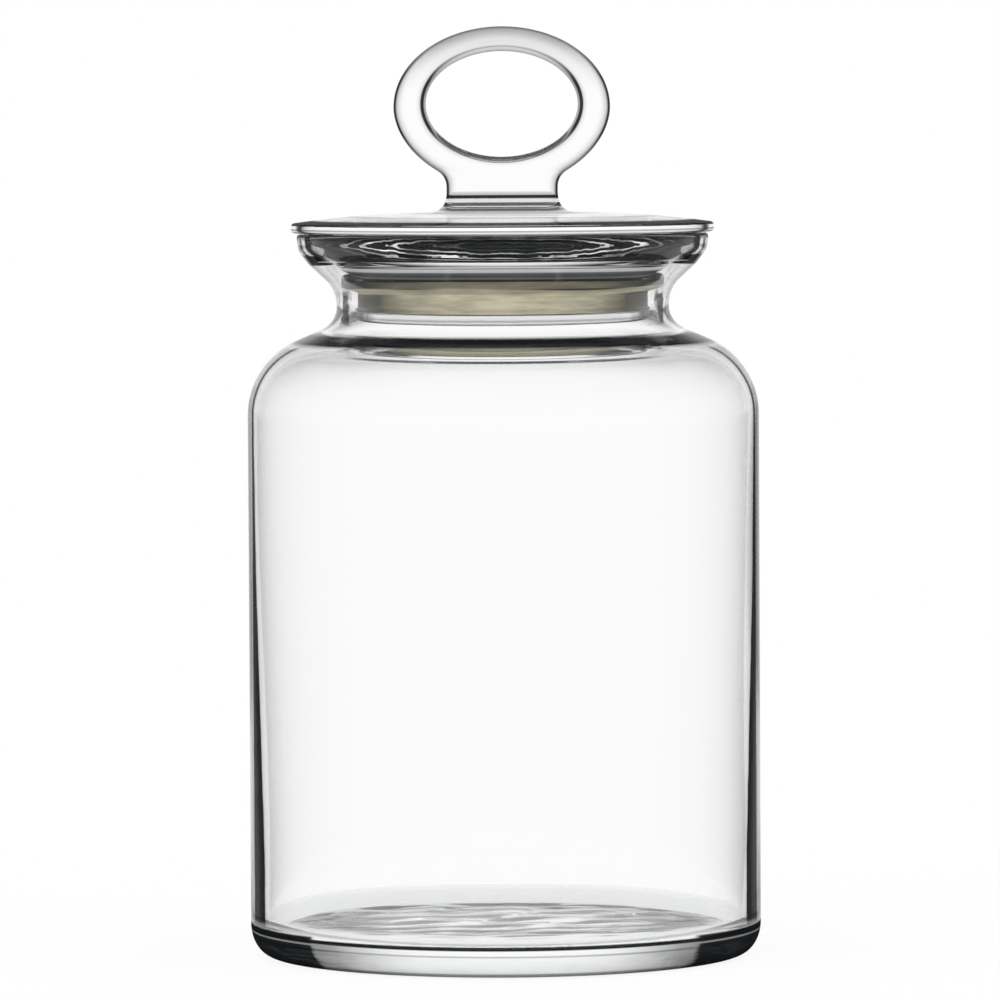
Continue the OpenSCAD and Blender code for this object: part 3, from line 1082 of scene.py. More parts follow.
def base_shares(sums, mm, facing, lump):
    """Share of the painted light and shade in the solid base, and how pale that tone is."""
    upright = sums.levels(mm, HEEL_UPRIGHT)
    leaning = sums.do("SQRT", sums.do("SUBTRACT", 1.0, sums.do("MULTIPLY", upright, upright)))
    towards = sums.do("MULTIPLY_ADD", leaning, EYE_ABOVE, sums.do("SUBTRACT", 1.0, facing))
    sideways = sums.do("SUBTRACT", 1.0, sums.do("DIVIDE", towards, upright))
    ragged = sums.do("MULTIPLY_ADD", lump, CORNER_ROUGH, sideways)
    black = sums.do("MULTIPLY", sums.ramp(ragged, CORNER), sums.levels(mm, CORNER_HEIGHTS))
    pale = sums.do("MULTIPLY", sums.levels(mm, BASE_TONE), sums.ramp(sideways, BASE_SHADE))
    pale = sums.do("MULTIPLY", pale, sums.do("SUBTRACT", 1.0, black))
    return sums.do("MAXIMUM", black, sums.levels(mm, BASE_SHARE)), pale


SKIN_LUMPS = 160
SKIN_WANDER = 0.012


def skin_glass(name):
    """The jar's outside: painted shade on wall and rims above, painted base tones below, in one
    material.
    """
    material, sums, share, matt = glass_finish(name)
    point, mm = sums.place()
    height = sums.do("DIVIDE", mm, MAP_HEIGHT / MM)
    lump = sums.noise(point, SKIN_LUMPS)
    facing = sums.do("MULTIPLY_ADD", lump, SKIN_WANDER, sums.turned_away())
    total = painted_wall_lines(sums, height, facing)
    total = with_rims(total, sums, mm, height, facing, lump)
    base, pale = base_shares(sums, mm, facing, lump)
    sums.two_tone(matt, pale)
    total = sums.do("MULTIPLY", sums.do("MAXIMUM", total, base), sums.outside())
    sums.links.new(total, share)
    return material


skin_finish = skin_glass("jar_skin_glass")
print("the jar's skin takes", len(skin_finish.node_tree.nodes), "nodes")

# %% [markdown]
# ## The jar's floor
# The floor's ripples gather light into bright and grey clouds. Bent light would show them only
# with very many samples, so dark clouds of painted shade, from noise in the floor's own plane,
# stand in for them: more towards the front, and at both ends of the flat oval that the eye sees.
# From above a real floor looks clear, so the painted clouds fade as the eye rises.

# %% Finish: the jar's floor, painted clouds of shade where the ripples gather
CLOUD_DEPTH = (
    (-52.0, 0.2), (-38.0, 0.15), (-27.0, 0.32), (-18.0, 0.5), (-9.0, 0.2), (0.0, 0.08), (15.0, 0.02),
    (30.0, 0), (58.0, 0),
)
END_WIDTH = ((25.0, 0), (34.0, 0.5), (42.0, 0.68), (49.0, 0.5), (54.0, 0))
END_DEPTH = ((-45.0, 1), (5.0, 0.9), (22.0, 0.45), (34.0, 0))
CLOUD_SLANT = ((0, 0), (0.65, 0.05), (0.85, 0.3), (0.93, 1), (1, 1))
CLOUD_SHADE_TONE = (0.03, 0.04, 0.045, 1)
CLOUD_MOST = 0.93
# Noise moves each cloud about, in mm: by large lumps and by fine ones
CLOUD_LUMPS = 60
CLOUD_FINE = 210
LUMP_PUSH = 34.0
FINE_PUSH = 16.0
END_PUSH = 22.0


def floor_glass(name):
    """Glass with grey clouds of painted shade, seen at a slant."""
    material, sums, share, matt = glass_finish(name)
    matt.inputs["Base Color"].default_value = CLOUD_SHADE_TONE
    point, _ = sums.place()
    x, y, _ = sums.parts(point)
    across = sums.do("ABSOLUTE", sums.do("DIVIDE", x, MM))
    deep = sums.do("DIVIDE", y, MM)
    lump = sums.noise(point, CLOUD_LUMPS, 6.0)
    fine = sums.noise(point, CLOUD_FINE, 4.0)
    deep = sums.do("MULTIPLY_ADD", fine, FINE_PUSH, deep)
    deep = sums.do("MULTIPLY_ADD", lump, LUMP_PUSH, deep)
    across = sums.do("MULTIPLY_ADD", lump, END_PUSH, across)
    ends = sums.do("MULTIPLY", sums.levels(across, END_WIDTH), sums.levels(deep, END_DEPTH))
    total = sums.do("ADD", sums.levels(deep, CLOUD_DEPTH), ends)
    slanting = sums.ramp(sums.turned_away(), CLOUD_SLANT)
    total = sums.do("MULTIPLY", sums.do("MINIMUM", total, CLOUD_MOST), slanting)
    sums.links.new(sums.do("MULTIPLY", total, sums.outside()), share)
    return material


floor_finish = floor_glass("jar_level_glass")
print("clouds cover at most", CLOUD_MOST, "of the floor's glass")

# %% [markdown]
# Where the floor curves up into the wall, the glass gathers light into a pale band that runs all
# round. Here that band is painted light, glowing a little. It is full on the far side, which is
# seen across the inside of the jar, and on the near side it fades towards the jar's edges.

# %% Finish: painted light in the round corner between the floor and the wall
CORNER_GLOW = 0.35
CORNER_LIGHT = ((6.2, 0.8), (8.5, 0.75), (9.8, 0.35), (11.0, 0))
CORNER_NEAR = ((0, 0.7), (0.3, 0.65), (0.45, 0.25), (0.6, 0.05), (1, 0))
CORNER_TONE = (0.95, 0.96, 0.96, 1)


def corner_glass(name):
    """Glass with a glowing band of painted light where the floor curves up into the wall."""
    material, sums, share, matt = glass_finish(name, CORNER_GLOW)
    matt.inputs["Base Color"].default_value = CORNER_TONE
    matt.inputs["Emission Color"].default_value = CORNER_TONE
    _, mm = sums.place()
    near = sums.ramp(sums.turned_away(), CORNER_NEAR)
    both = sums.do("MAXIMUM", near, sums.outside())
    sums.links.new(sums.do("MULTIPLY", sums.levels(mm, CORNER_LIGHT), both), share)
    return material


corner_finish = corner_glass("jar_corner_glass")
print("the corner's light reaches", CORNER_LIGHT[-1][0], "mm")

# %% [markdown]
# ## The lid's glass
# The plug ends in a round bead, which shows as a stack of thin bright and grey lines under the
# seal. Bent light alone gives one dim blur there, so a ramp by height paints them as light and
# shade, glowing a little, and noise makes them ragged.

# %% Finish: the end of the plug, below the seal, with painted lines of light and shade
BEAD_GLOW = 0.5
BEAD_SHARE = 0.85
BEAD_TONE = (
    (148.5, 0.15), (148.8, 0.3), (149.2, 0.45), (149.4, 0.85), (149.7, 0.8), (149.9, 0.5),
    (150.2, 0.5), (150.6, 0.9), (151.5, 1), (151.8, 1),
)
BEAD_SIDES = ((0, 1), (0.5, 0.9), (0.62, 0.4), (0.7, 0.1), (1, 0.2))
BEAD_LUMPS = 300
BEAD_RAGGED = 0.2
BEAD_WAVER = 0.4


def bead_glass(name):
    """Glass with painted level lines, bright in the middle and shaded dark to the sides."""
    material, sums, share, matt = glass_finish(name, BEAD_GLOW)
    point, mm = sums.place()
    lump = sums.noise(point, BEAD_LUMPS, 3.0)
    ragged = sums.do("MULTIPLY_ADD", lump, BEAD_RAGGED, sums.turned_away())
    mm = sums.do("MULTIPLY_ADD", lump, BEAD_WAVER, mm)
    pale = sums.do("MULTIPLY", sums.levels(mm, BEAD_TONE), sums.ramp(ragged, BEAD_SIDES))
    sums.two_tone(matt, pale)
    sums.links.new(sums.do("MULTIPLY", sums.outside(), BEAD_SHARE), share)
    return material


bead_finish = bead_glass("plug_end_glass")
print("plug's end:", len(BEAD_TONE), "levels from", BEAD_TONE[0][0], "mm up")

# %% [markdown]
# The lid's flange is thin, and its edge shows as level lines: dark where the rounding turns the
# light away, bright between. The dome above is so flat that from eye level it is a few streaks.
# Three ramps by height paint these lines and streaks as light and shade: where it is dark, where
# it is covered, and how pale the cover is. From above, the dome's painted streaks fade.

# %% Finish: the lid's rim and dome, painted shade along the roundings and painted light between
RIM_DARK = (
    (171.0, 0.4), (171.35, 0.55), (171.5, 0.05), (172.75, 0.0), (172.9, 0.9), (173.8, 0.9),
    (174.0, 0.3), (174.2, 0.05), (178.2, 0.0),
)
RIM_TONE = (
    (170.9, 0.2), (171.35, 0.3), (171.45, 0.9), (171.6, 0.9), (171.7, 0.4), (172.0, 0.35),
    (172.1, 1), (172.7, 1), (172.85, 0), (173.9, 0), (174.1, 0.6), (174.5, 0.7), (174.8, 0.45),
    (175.0, 0.9), (175.4, 0.95), (175.6, 0.5), (175.9, 0.95), (176.2, 0.7), (176.5, 0.35),
    (176.8, 0.7), (177.2, 0.8),
)
RIM_SHARE = (
    (170.9, 0.7), (171.3, 0.7), (171.45, 0.85), (172.7, 0.85), (172.85, 0), (174.0, 0), (174.2, 0.5),
    (175.2, 0.65), (175.5, 0.75), (177.2, 0.75),
)
RIM_SIDE = (
    (0, 0), (0.5, 0.1), (0.59, 0.2), (0.65, 0.45), (0.68, 0.8), (0.705, 0.97), (0.76, 0.88),
    (0.785, 0.3), (0.81, 0.12), (1, 0.1),
)
DOME_SLANT = ((0, 0.05), (0.5, 0.15), (0.72, 1), (1, 1))
RIM_ONLY = ((172.0, 1), (173.0, 1), (173.3, 0))


def flange_glass(name):
    """Glass with painted light and shade by height, on the side that meets the air."""
    material, sums, share, matt = glass_finish(name)
    _, mm = sums.place()
    facing = sums.turned_away()
    edge = sums.levels(mm, RIM_ONLY)
    side = sums.do("MULTIPLY", sums.ramp(facing, RIM_SIDE), edge)
    slanting = sums.do("MAXIMUM", edge, sums.ramp(facing, DOME_SLANT))
    total = sums.do("MAXIMUM", sums.levels(mm, RIM_SHARE), sums.levels(mm, RIM_DARK))
    total = sums.do("MAXIMUM", sums.do("MULTIPLY", total, slanting), side)
    pale = sums.do("MULTIPLY", sums.levels(mm, RIM_TONE), sums.do("SUBTRACT", 1.0, side))
    sums.two_tone(matt, pale)
    sums.links.new(sums.do("MULTIPLY", total, sums.outside()), share)
    return material


flange_finish = flange_glass("lid_rim_glass")
print("flange and dome: tones from", RIM_TONE[0][0], "to", RIM_TONE[-1][0], "mm")

# %% [markdown]
# ## The handle's glass
# A flat glass ring is nearly clear in the middle of its face and greys towards its edges, where
# it rounds over. The finger hole draws dark crescents at its sides and stays softer above and
# below. Here the grey and the crescents are painted shade. The direction that a face points in
# tells these apart: outwards, towards the hole, or up and down. The stem's painted level lines,
# dark and light, are where its fillet meets the lid's pad.

# %% Finish: the ring handle, soft painted grey shade towards its edges
RING_SIDE = (
    (0, 0.02), (0.005, 0.03), (0.03, 0.07), (0.07, 0.11), (0.12, 0.2), (0.19, 0.24), (0.29, 0.35),
    (0.40, 0.5), (0.50, 0.75), (0.58, 0.975), (0.8, 0.98), (0.9, 0.75), (1, 0.5),
)
HOLE_SIDE = (
    (0, 0.02), (0.03, 0.08), (0.1, 0.22), (0.16, 0.4), (0.21, 0.97), (0.52, 0.97), (0.58, 0.65),
    (0.7, 0.6), (1, 0.5),
)
RING_LEVEL = (
    (0, 0.02), (0.05, 0.15), (0.12, 0.3), (0.19, 0.35), (0.4, 0.5), (0.6, 0.7), (0.8, 0.75),
    (1, 0.55),
)
LEVEL_FROM = ((0, 0), (0.45, 0), (0.8, 1), (1, 1))
CROWN_EDGE = (
    (0.6, 0.1), (0.72, 0.2), (0.85, 0.24), (0.9, 0.4), (0.93, 0.5), (0.97, 0.6), (0.985, 0.78),
    (1, 0.75),
)
CROWN_HEIGHTS = ((203.0, 0), (209.0, 0.35), (216.0, 1), (219.6, 1))
# Painted dark and light level lines on the stem, where its fillet meets the pad
STEM_DARK = (
    (176.0, 0.1), (176.4, 0.45), (176.8, 0.45), (177.1, 0.05), (177.35, 0.88), (177.75, 0.88),
    (178.0, 0.0), (178.95, 0.0), (179.15, 0.97), (179.7, 0.97), (179.9, 0.5), (180.5, 0.3),
    (180.8, 0.0),
)
STEM_LIGHT = (
    (175.0, 0.65), (177.0, 0.6), (177.2, 0), (178.0, 0), (178.1, 0.85), (178.85, 0.85), (179.0, 0),
)
HOLE_SOFTER = 0.4


def ring_sides(sums, facing, mm, x, x_lean):
    """Share of painted shade on faces that point sideways: one rule outwards, one towards the hole.
    """
    inwards = sums.do("LESS_THAN", sums.do("MULTIPLY", x, x_lean), 0.0)
    to_hole = sums.do("MULTIPLY", inwards, sums.do("GREATER_THAN", mm, hole_z - HOLE_B))
    outer = sums.do("MULTIPLY", sums.ramp(facing, RING_SIDE), sums.do("SUBTRACT", 1.0, to_hole))
    return sums.do("MULTIPLY_ADD", sums.ramp(facing, HOLE_SIDE), to_hole, outer)


def ring_levels(sums, facing, mm, z_lean):
    """Share of painted shade on faces that point up or down: softer round the hole."""
    above = sums.do("MULTIPLY", sums.do("SUBTRACT", mm, hole_z), z_lean)
    softer = sums.do("MULTIPLY_ADD", sums.do("LESS_THAN", above, 0.0), -HOLE_SOFTER, 1.0)
    return sums.do("MULTIPLY", sums.ramp(facing, RING_LEVEL), softer)


def crown(sums, mm, x):
    """The painted grey shade at the edge of the ring's upper half, by how far out on the oval it
    lies.
    """
    across = sums.do("DIVIDE", x, RING_A * MM)
    up = sums.do("DIVIDE", sums.do("SUBTRACT", mm, belly_z), ring_top_z - belly_z)
    edge = sums.levels(sums.length(across, up), CROWN_EDGE)
    return sums.do("MULTIPLY", edge, sums.levels(mm, CROWN_HEIGHTS))


print("the crown begins at", CROWN_HEIGHTS[0][0], "mm")

# %% Finish: the ring handle, all its rules in one material
def handle_glass(name):
    """Glass that is clear on the ring's face, with painted grey to dark shade along its edges."""
    material, sums, share, matt = glass_finish(name)
    point, mm = sums.place()
    x = sums.parts(point)[0]
    facing = sums.turned_away()
    normal = sums.nodes.new("ShaderNodeTexCoord").outputs["Normal"]
    x_lean, _, z_lean = sums.parts(normal)
    level = sums.ramp(sums.do("ABSOLUTE", z_lean), LEVEL_FROM)
    sides = ring_sides(sums, facing, mm, x, x_lean)
    sides = sums.do("MULTIPLY", sides, sums.do("SUBTRACT", 1.0, level))
    total = sums.do("MULTIPLY_ADD", level, ring_levels(sums, facing, mm, z_lean), sides)
    total = sums.do("MAXIMUM", total, crown(sums, mm, x))
    total = sums.do("MAXIMUM", total, sums.levels(mm, STEM_DARK))
    light = sums.levels(mm, STEM_LIGHT)
    total = sums.do("MAXIMUM", total, light)
    sums.two_tone(matt, light)
    sums.links.new(sums.do("MULTIPLY", total, sums.outside()), share)
    return material


handle_finish = handle_glass("handle_glass")
print("the handle takes", len(handle_finish.node_tree.nodes), "nodes")

# %% [markdown]
# ## The lid's bowl
# Seen from the side, the bowl bends all light away from the eye, so it is nearly black, with pale
# swirls where the pressed surface isn't quite even. Here the black is painted shade and the
# swirls are painted light, glowing a little. Contour lines make such swirls: a sine of how far
# the surface turns away, bent by height and roughened by noise, is pale where it peaks. Below
# them lie a lens-shaped streak, a small arc, a glint, and the level streaks of the corner, all
# painted light.

# %% Finish: the bowl's swirls of painted light
BOWL_GLOW = 0.55
SWIRL_Z = 167.7
SWIRL_BEND = 0.06
SWIRL_POWER = 1.5
SWIRL_COUNT = 8
SWIRL_LINE = ((0, 0), (0.45, 0), (0.85, 0.9), (1, 1))
SWIRL_WHERE = ((0, 0), (0.15, 0), (0.25, 0.6), (0.42, 0.95), (0.52, 0.5), (0.6, 0.25), (0.7, 0))
SWIRL_BREAKS = ((0, 0.1), (0.4, 0.2), (0.6, 1), (1, 1))
# Middle of the band that holds them, its half-height and how softly it ends
SWIRL_BAND = (168.0, 3.0, 0.6)
SWIRL_LUMPS = 220
LUMP_BEND = 0.15
SWIRL_FINE = 900
FINE_BEND = 0.04
BREAK_LUMPS = 120


def swirls(sums, point, high, facing):
    """Pale contour lines of painted light across the bowl, broken here and there."""
    lump = sums.noise(point, SWIRL_LUMPS, 3.0)
    fine = sums.noise(point, SWIRL_FINE, 2.0)
    above = sums.do("ABSOLUTE", sums.do("SUBTRACT", high, SWIRL_Z))
    bend = sums.do("MULTIPLY", sums.do("POWER", above, SWIRL_POWER), SWIRL_BEND)
    field = sums.do("MULTIPLY_ADD", lump, LUMP_BEND, sums.do("ADD", facing, bend))
    field = sums.do("MULTIPLY_ADD", fine, FINE_BEND, field)
    wave = sums.do("SINE", sums.do("MULTIPLY", field, math.tau * SWIRL_COUNT))
    lines = sums.ramp(wave, SWIRL_LINE)
    where = sums.ramp(field, SWIRL_WHERE)
    upper = sums.band(high, *SWIRL_BAND)
    breaks = sums.do("ADD", sums.noise(point, BREAK_LUMPS, 2.0), 0.5)
    broken = sums.ramp(breaks, SWIRL_BREAKS)
    lines = sums.do("MULTIPLY", lines, broken)
    return sums.do("MULTIPLY", sums.do("MULTIPLY", lines, where), upper)


print("swirls:", SWIRL_COUNT, "lines around", SWIRL_Z, "mm")

# %% Finish: the lid's bowl, painted near-black shade with streaks of painted light
# Each streak of painted light: height of its middle, its half-height and how softly it ends
LENS = (164.4, 0.35, 0.2)
LENS_FACING = ((0, 1), (0.6, 0.9), (0.8, 0))
ARC = (164.9, 0.12, 0.45)
ARC_BEND = 34.0
ARC_FACING = ((0, 1), (0.04, 0.8), (0.09, 0))
GLINT = (168.7, 0.08, 0.12)
GLINT_FACING = ((0, 0.95), (0.012, 0.95), (0.02, 0))
BOWL_COVER = ((0, 0.985), (0.9, 0.985), (1, 0.9))
LOW_STREAKS = (
    (157.0, 0.5), (160.2, 0.5), (160.3, 0.6), (160.7, 0.6), (160.85, 0.02), (161.2, 0.02),
    (161.5, 0.18), (162.0, 0.06), (162.8, 0.12), (163.0, 0.5), (163.7, 0.6), (163.85, 0),
)


def bowl_glass(name):
    """Glass painted nearly black as shade, with pale swirls and streaks of painted light."""
    material, sums, share, matt = glass_finish(name, BOWL_GLOW)
    point, high = sums.place()
    facing = sums.turned_away()
    pale = swirls(sums, point, high, facing)
    bowed = sums.do("MULTIPLY_ADD", facing, -ARC_BEND, high)
    for value, streak, stops in (
        (high, LENS, LENS_FACING),
        (bowed, ARC, ARC_FACING),
        (high, GLINT, GLINT_FACING),
    ):
        light = sums.do("MULTIPLY", sums.band(value, *streak), sums.ramp(facing, stops))
        pale = sums.do("MAXIMUM", pale, light)
    pale = sums.do("MAXIMUM", pale, sums.levels(high, LOW_STREAKS))
    sums.two_tone(matt, pale)
    total = sums.do("MAXIMUM", sums.ramp(facing, BOWL_COVER), pale)
    sums.links.new(sums.do("MULTIPLY", total, sums.outside()), share)
    return material


bowl_finish = bowl_glass("lid_bowl_glass")
print("the bowl takes", len(bowl_finish.node_tree.nodes), "nodes")

# %% [markdown]
# ## Where each finish goes
# One piece of glass can hold several materials, one for each face. The zones need no painting by
# hand: where a face lies, and whether it points outwards, says which finish it gets.

# %% Zones: a finish for each face
A_HAIR = 0.01
FACE_ROOM = 0.1
FLOOR_ROOM = 0.5
BEAD_ROOM = 0.6
FOOT_UNDERSIDE = 1.0
HANDLE_FROM = 1.5
LEDGE_H = 1.0


def set_zones(obj, zone_of):
    """Give every face the finish of the zone that its middle lies in."""
    for face in obj.data.polygons:
        x, y, z = np.array(face.center) / MM
        r = math.hypot(x, y)
        outwards = (face.normal.x * x + face.normal.y * y) / max(r, TINY)
        face.material_index = zone_of(r, z, outwards)


JAR_FINISHES = (skin_finish, floor_finish, inside_finish, corner_finish)
SKIN, FLOOR, INSIDE, CORNER_BAND = range(4)
LID_FINISHES = (handle_finish, bowl_finish, plain_finish, flange_finish, bead_finish)
HANDLE, BOWL, PLAIN, FLANGE, BEAD = range(5)


def jar_zone(r, z, outwards):
    """The finish of a face of the jar at radius r and height z."""
    under_foot = z < FOOT_UNDERSIDE and r < foot_in_r + PUNT_H
    on_floor = z < FLOOR_Z + FLOOR_ROOM and r < floor_edge_r
    if under_foot or on_floor:
        return FLOOR
    if outwards >= 0 or z <= FLOOR_Z:
        return SKIN
    return CORNER_BAND if z < FLOOR_Z + FLOOR_CORNER_R + FLOOR_ROOM else INSIDE


def lid_zone(r, z, outwards):
    """The finish of a face of the lid or its handle."""
    if z > pad_z + HANDLE_FROM:
        return HANDLE
    if z > top_z - A_HAIR or (z > rim_z - A_HAIR and r > LID_R - LIP_ROUND):
        return FLANGE
    if r > bead_r - BEAD_ROOM and z < groove_low_z + FACE_ROOM and outwards > 0:
        return BEAD
    across_bowl = groove_r + FACE_ROOM < r < bowl_r + BOWL_LEAN + FACE_ROOM
    return BOWL if across_bowl and groove_low_z + LEDGE_H < z < rim_z else PLAIN


for piece, finishes, zone_of in ((jar, JAR_FINISHES, jar_zone), (lid, LID_FINISHES, lid_zone)):
    for finish in finishes:
        piece.data.materials.append(finish)
    set_zones(piece, zone_of)
    print(piece.name, "has", len(finishes), "finishes")

# %% [markdown]
# ## The seal's plastic
# Soft polyethylene is milky: light goes in, scatters, and comes out again nearby. Subsurface
# scattering would do that slowly and with noise. In a ring this thin, a share of Translucent and
# a faint glow, painted light from the shader's own emission, look the same. Streaks of noise
# stand for the flow of the plastic in its mould. Towards its sides the ring darkens with painted
# shade, as it would behind the glass of a real neck, and above its lip as well; a band under the
# lip is held light.

# %% Finish: milky seal plastic, with a painted glow and painted shade
# Painted shade above the lip, and a band of painted light held under it
LIP_TONE = ((150.0, 1), (158.9, 1), (159.3, 0.4), (162.0, 0.3))
LIP_UNDERSIDE = ((157.2, 0), (157.5, 0.8), (159.0, 0.8), (159.3, 0))
SEAL_SIDES = ((0, 1), (0.08, 0.97), (0.27, 0.68), (0.48, 0.14), (0.72, 0.08), (1, 0.08))
SEAL_DEEP = (0.58, 0.54, 0.4, 1)
SEAL_LIGHT = (0.88, 0.82, 0.62, 1)
SEAL_ROUGHNESS = 0.38
# A glow of painted light, standing in for light scattered in the plastic
SEAL_GLOW = 0.3
SEAL_THROUGH = 0.2
SEAL_LUMPS = 22
SEAL_WAVER = 5.0
STREAK_SCALE = (1, 1, 6)
STREAK_LUMPS = 130
STREAK_STOPS = ((0.33, SEAL_DEEP), (0.68, SEAL_LIGHT))


def flow_streaks(sums, point):
    """The plastic's colour, in level streaks."""
    streaks = sums.nodes.new("ShaderNodeMapping")
    streaks.inputs["Scale"].default_value = STREAK_SCALE
    sums.links.new(point, streaks.inputs["Vector"])
    mottle = sums.noise(streaks.outputs[0], STREAK_LUMPS, 4.0)
    tone = sums.nodes.new("ShaderNodeValToRGB")
    for stop, (place, colour) in zip(tone.color_ramp.elements, STREAK_STOPS):
        stop.position = place
        stop.color = colour
    sums.links.new(sums.do("ADD", mottle, 0.5), tone.inputs["Fac"])
    return tone.outputs["Color"]


def seal_finish():
    """Milky plastic with a painted glow, and painted shade towards its sides and above its lip."""
    material, nodes, links = new_material("seal_plastic")
    sums = Sums(material.node_tree)
    out = nodes.new("ShaderNodeOutputMaterial")
    surface = nodes.new("ShaderNodeBsdfPrincipled")
    surface.inputs["Roughness"].default_value = SEAL_ROUGHNESS
    surface.inputs["Emission Strength"].default_value = SEAL_GLOW
    through = nodes.new("ShaderNodeBsdfTranslucent")
    point, mm = sums.place()
    high = sums.do("MULTIPLY_ADD", sums.noise(point, SEAL_LUMPS, 1.0), SEAL_WAVER, mm)
    edge = sums.ramp(sums.turned_away(), SEAL_SIDES)
    edge = sums.do("MAXIMUM", edge, sums.levels(high, LIP_UNDERSIDE))
    shade = nodes.new("ShaderNodeMix")
    shade.data_type = "RGBA"
    shade.blend_type = "MULTIPLY"
    shade.inputs["Factor"].default_value = 1
    links.new(flow_streaks(sums, point), shade.inputs["A"])
    links.new(sums.do("MULTIPLY", edge, sums.levels(high, LIP_TONE)), shade.inputs["B"])
    for socket in (
        surface.inputs["Base Color"],
        surface.inputs["Emission Color"],
        through.inputs["Color"],
    ):
        links.new(shade.outputs["Result"], socket)
    mix = nodes.new("ShaderNodeMixShader")
    mix.inputs["Fac"].default_value = SEAL_THROUGH
    links.new(surface.outputs[0], mix.inputs[1])
    links.new(through.outputs[0], mix.inputs[2])
    links.new(mix.outputs[0], out.inputs["Surface"])
    return material


seal.data.materials.append(seal_finish())
print("seal: a glow of", SEAL_GLOW, "and", SEAL_THROUGH, "of its light from behind")

# %% [markdown]
# ## Surroundings and background
# The eye sees plain white. But glass mirrors and bends whatever surrounds it, so for those rays
# the surroundings do some drawing: bent light finds white all round and darkness only overhead,
# and mirrored light finds white just above the horizon and grey elsewhere. Light that crossed
# thick glass many times finds light and dark panels in turn. The Light Path node tells the rays
# apart, and light that has already met a matt surface counts as plain room light.

# %% World: white to the eye, with darkness for the glass to find
scene = bpy.context.scene
scene.view_settings.view_transform = "Standard"
DARK = 0.03
AMBIENT = 0.9
THICK_CROSSINGS = 5.5
PANELS = 12
BENT_HEIGHTS = ((0, 1), (0.8, 1), (0.88, DARK), (1, DARK))
MIRROR_HEIGHTS = ((0, 0.15), (0.47, 0.15), (0.5, 1), (0.62, 1), (0.75, 0.15), (1, 0.15))
PANEL_EDGES = ((0, DARK), (0.35, DARK), (0.65, 1), (1, 1))


def ray_kinds(sums):
    """One or nought each: seen by the camera, mirrored, bent, or bent through thick glass."""
    path = sums.nodes.new("ShaderNodeLightPath")
    through = path.outputs["Is Transmission Ray"]
    thick = sums.do("GREATER_THAN", path.outputs["Transmission Depth"], THICK_CROSSINGS)
    clear = sums.do("LESS_THAN", path.outputs["Diffuse Depth"], 0.5)
    glossy = sums.do("SUBTRACT", path.outputs["Is Glossy Ray"], through)
    return (
        path.outputs["Is Camera Ray"],
        sums.do("MULTIPLY", glossy, clear),
        sums.do("MULTIPLY", through, clear),
        thick,
    )


world = bpy.data.worlds.new("white_surroundings")
scene.world = world
world.use_nodes = True
world.node_tree.nodes.clear()
sums = Sums(world.node_tree)
out = sums.nodes.new("ShaderNodeOutputWorld")
sky = sums.nodes.new("ShaderNodeBackground")
sky.inputs["Color"].default_value = (1, 1, 1, 1)
direction = sums.nodes.new("ShaderNodeTexCoord").outputs["Generated"]
x, y, z = sums.parts(direction)
seen, mirrored, bent, thick = ray_kinds(sums)
height = sums.do("MULTIPLY_ADD", z, 0.5, 0.5)
stripes = sums.do("COSINE", sums.do("MULTIPLY", sums.do("ARCTAN2", x, y), PANELS))
panels = sums.do("MULTIPLY", thick, sums.ramp(stripes, PANEL_EDGES))
panels = sums.do("ADD", sums.do("SUBTRACT", 1.0, thick), panels)
bent_level = sums.do("MULTIPLY", sums.ramp(height, BENT_HEIGHTS), panels)
mirror_level = sums.ramp(height, MIRROR_HEIGHTS)
rest = sums.do("SUBTRACT", 1.0, sums.do("ADD", seen, sums.do("MAXIMUM", mirrored, bent)))
strength = seen
for kind, level in ((bent, bent_level), (mirrored, mirror_level), (rest, AMBIENT)):
    strength = sums.do("MULTIPLY_ADD", kind, level, strength)
sums.links.new(strength, sky.inputs["Strength"])
sums.links.new(sky.outputs[0], out.inputs["Surface"])
print("world: white, and", DARK, "overhead for bent light")

# %% [markdown]
# The floor is white too, so that it meets the background without an edge. A matt share keeps the
# soft shadow near the jar. For rays that come through the glass the floor shines evenly. Light
# that crossed glass many times, or was thrown back inside it, would have come from a studio's
# dark sides, so nine tenths of it are lost.

# %% Floor: white, keeps a soft shadow
FLOOR_HALF = 6.0
FLOOR_DROP = 0.0002
FLOOR_WHITE = (0.97, 0.97, 0.97, 1)
NEAR_SHADOW = ((0.0, 0.85), (0.08, 0.9), (0.3, 1.0))
BENT_SLANT = ((0, 0.9), (0.4, 0.9), (0.6, 1), (1, 1))
MIRROR_SLANT = ((0, 0.15), (0.8, 0.15), (0.92, 0.85), (1, 0.85))
BACK_CROSSINGS = 2.5
LOST_SHARE = 0.9
floor_mesh = bpy.data.meshes.new("floor")
signs = ((-1, -1), (1, -1), (1, 1), (-1, 1))
floor_corners = [(x * FLOOR_HALF, y * FLOOR_HALF, 0) for x, y in signs]
floor_mesh.from_pydata(floor_corners, [], [(0, 1, 2, 3)])
floor = bpy.data.objects.new("floor", floor_mesh)
scene.collection.objects.link(floor)
floor.location.z = -FLOOR_DROP
print("floor:", 2 * FLOOR_HALF, "m across")

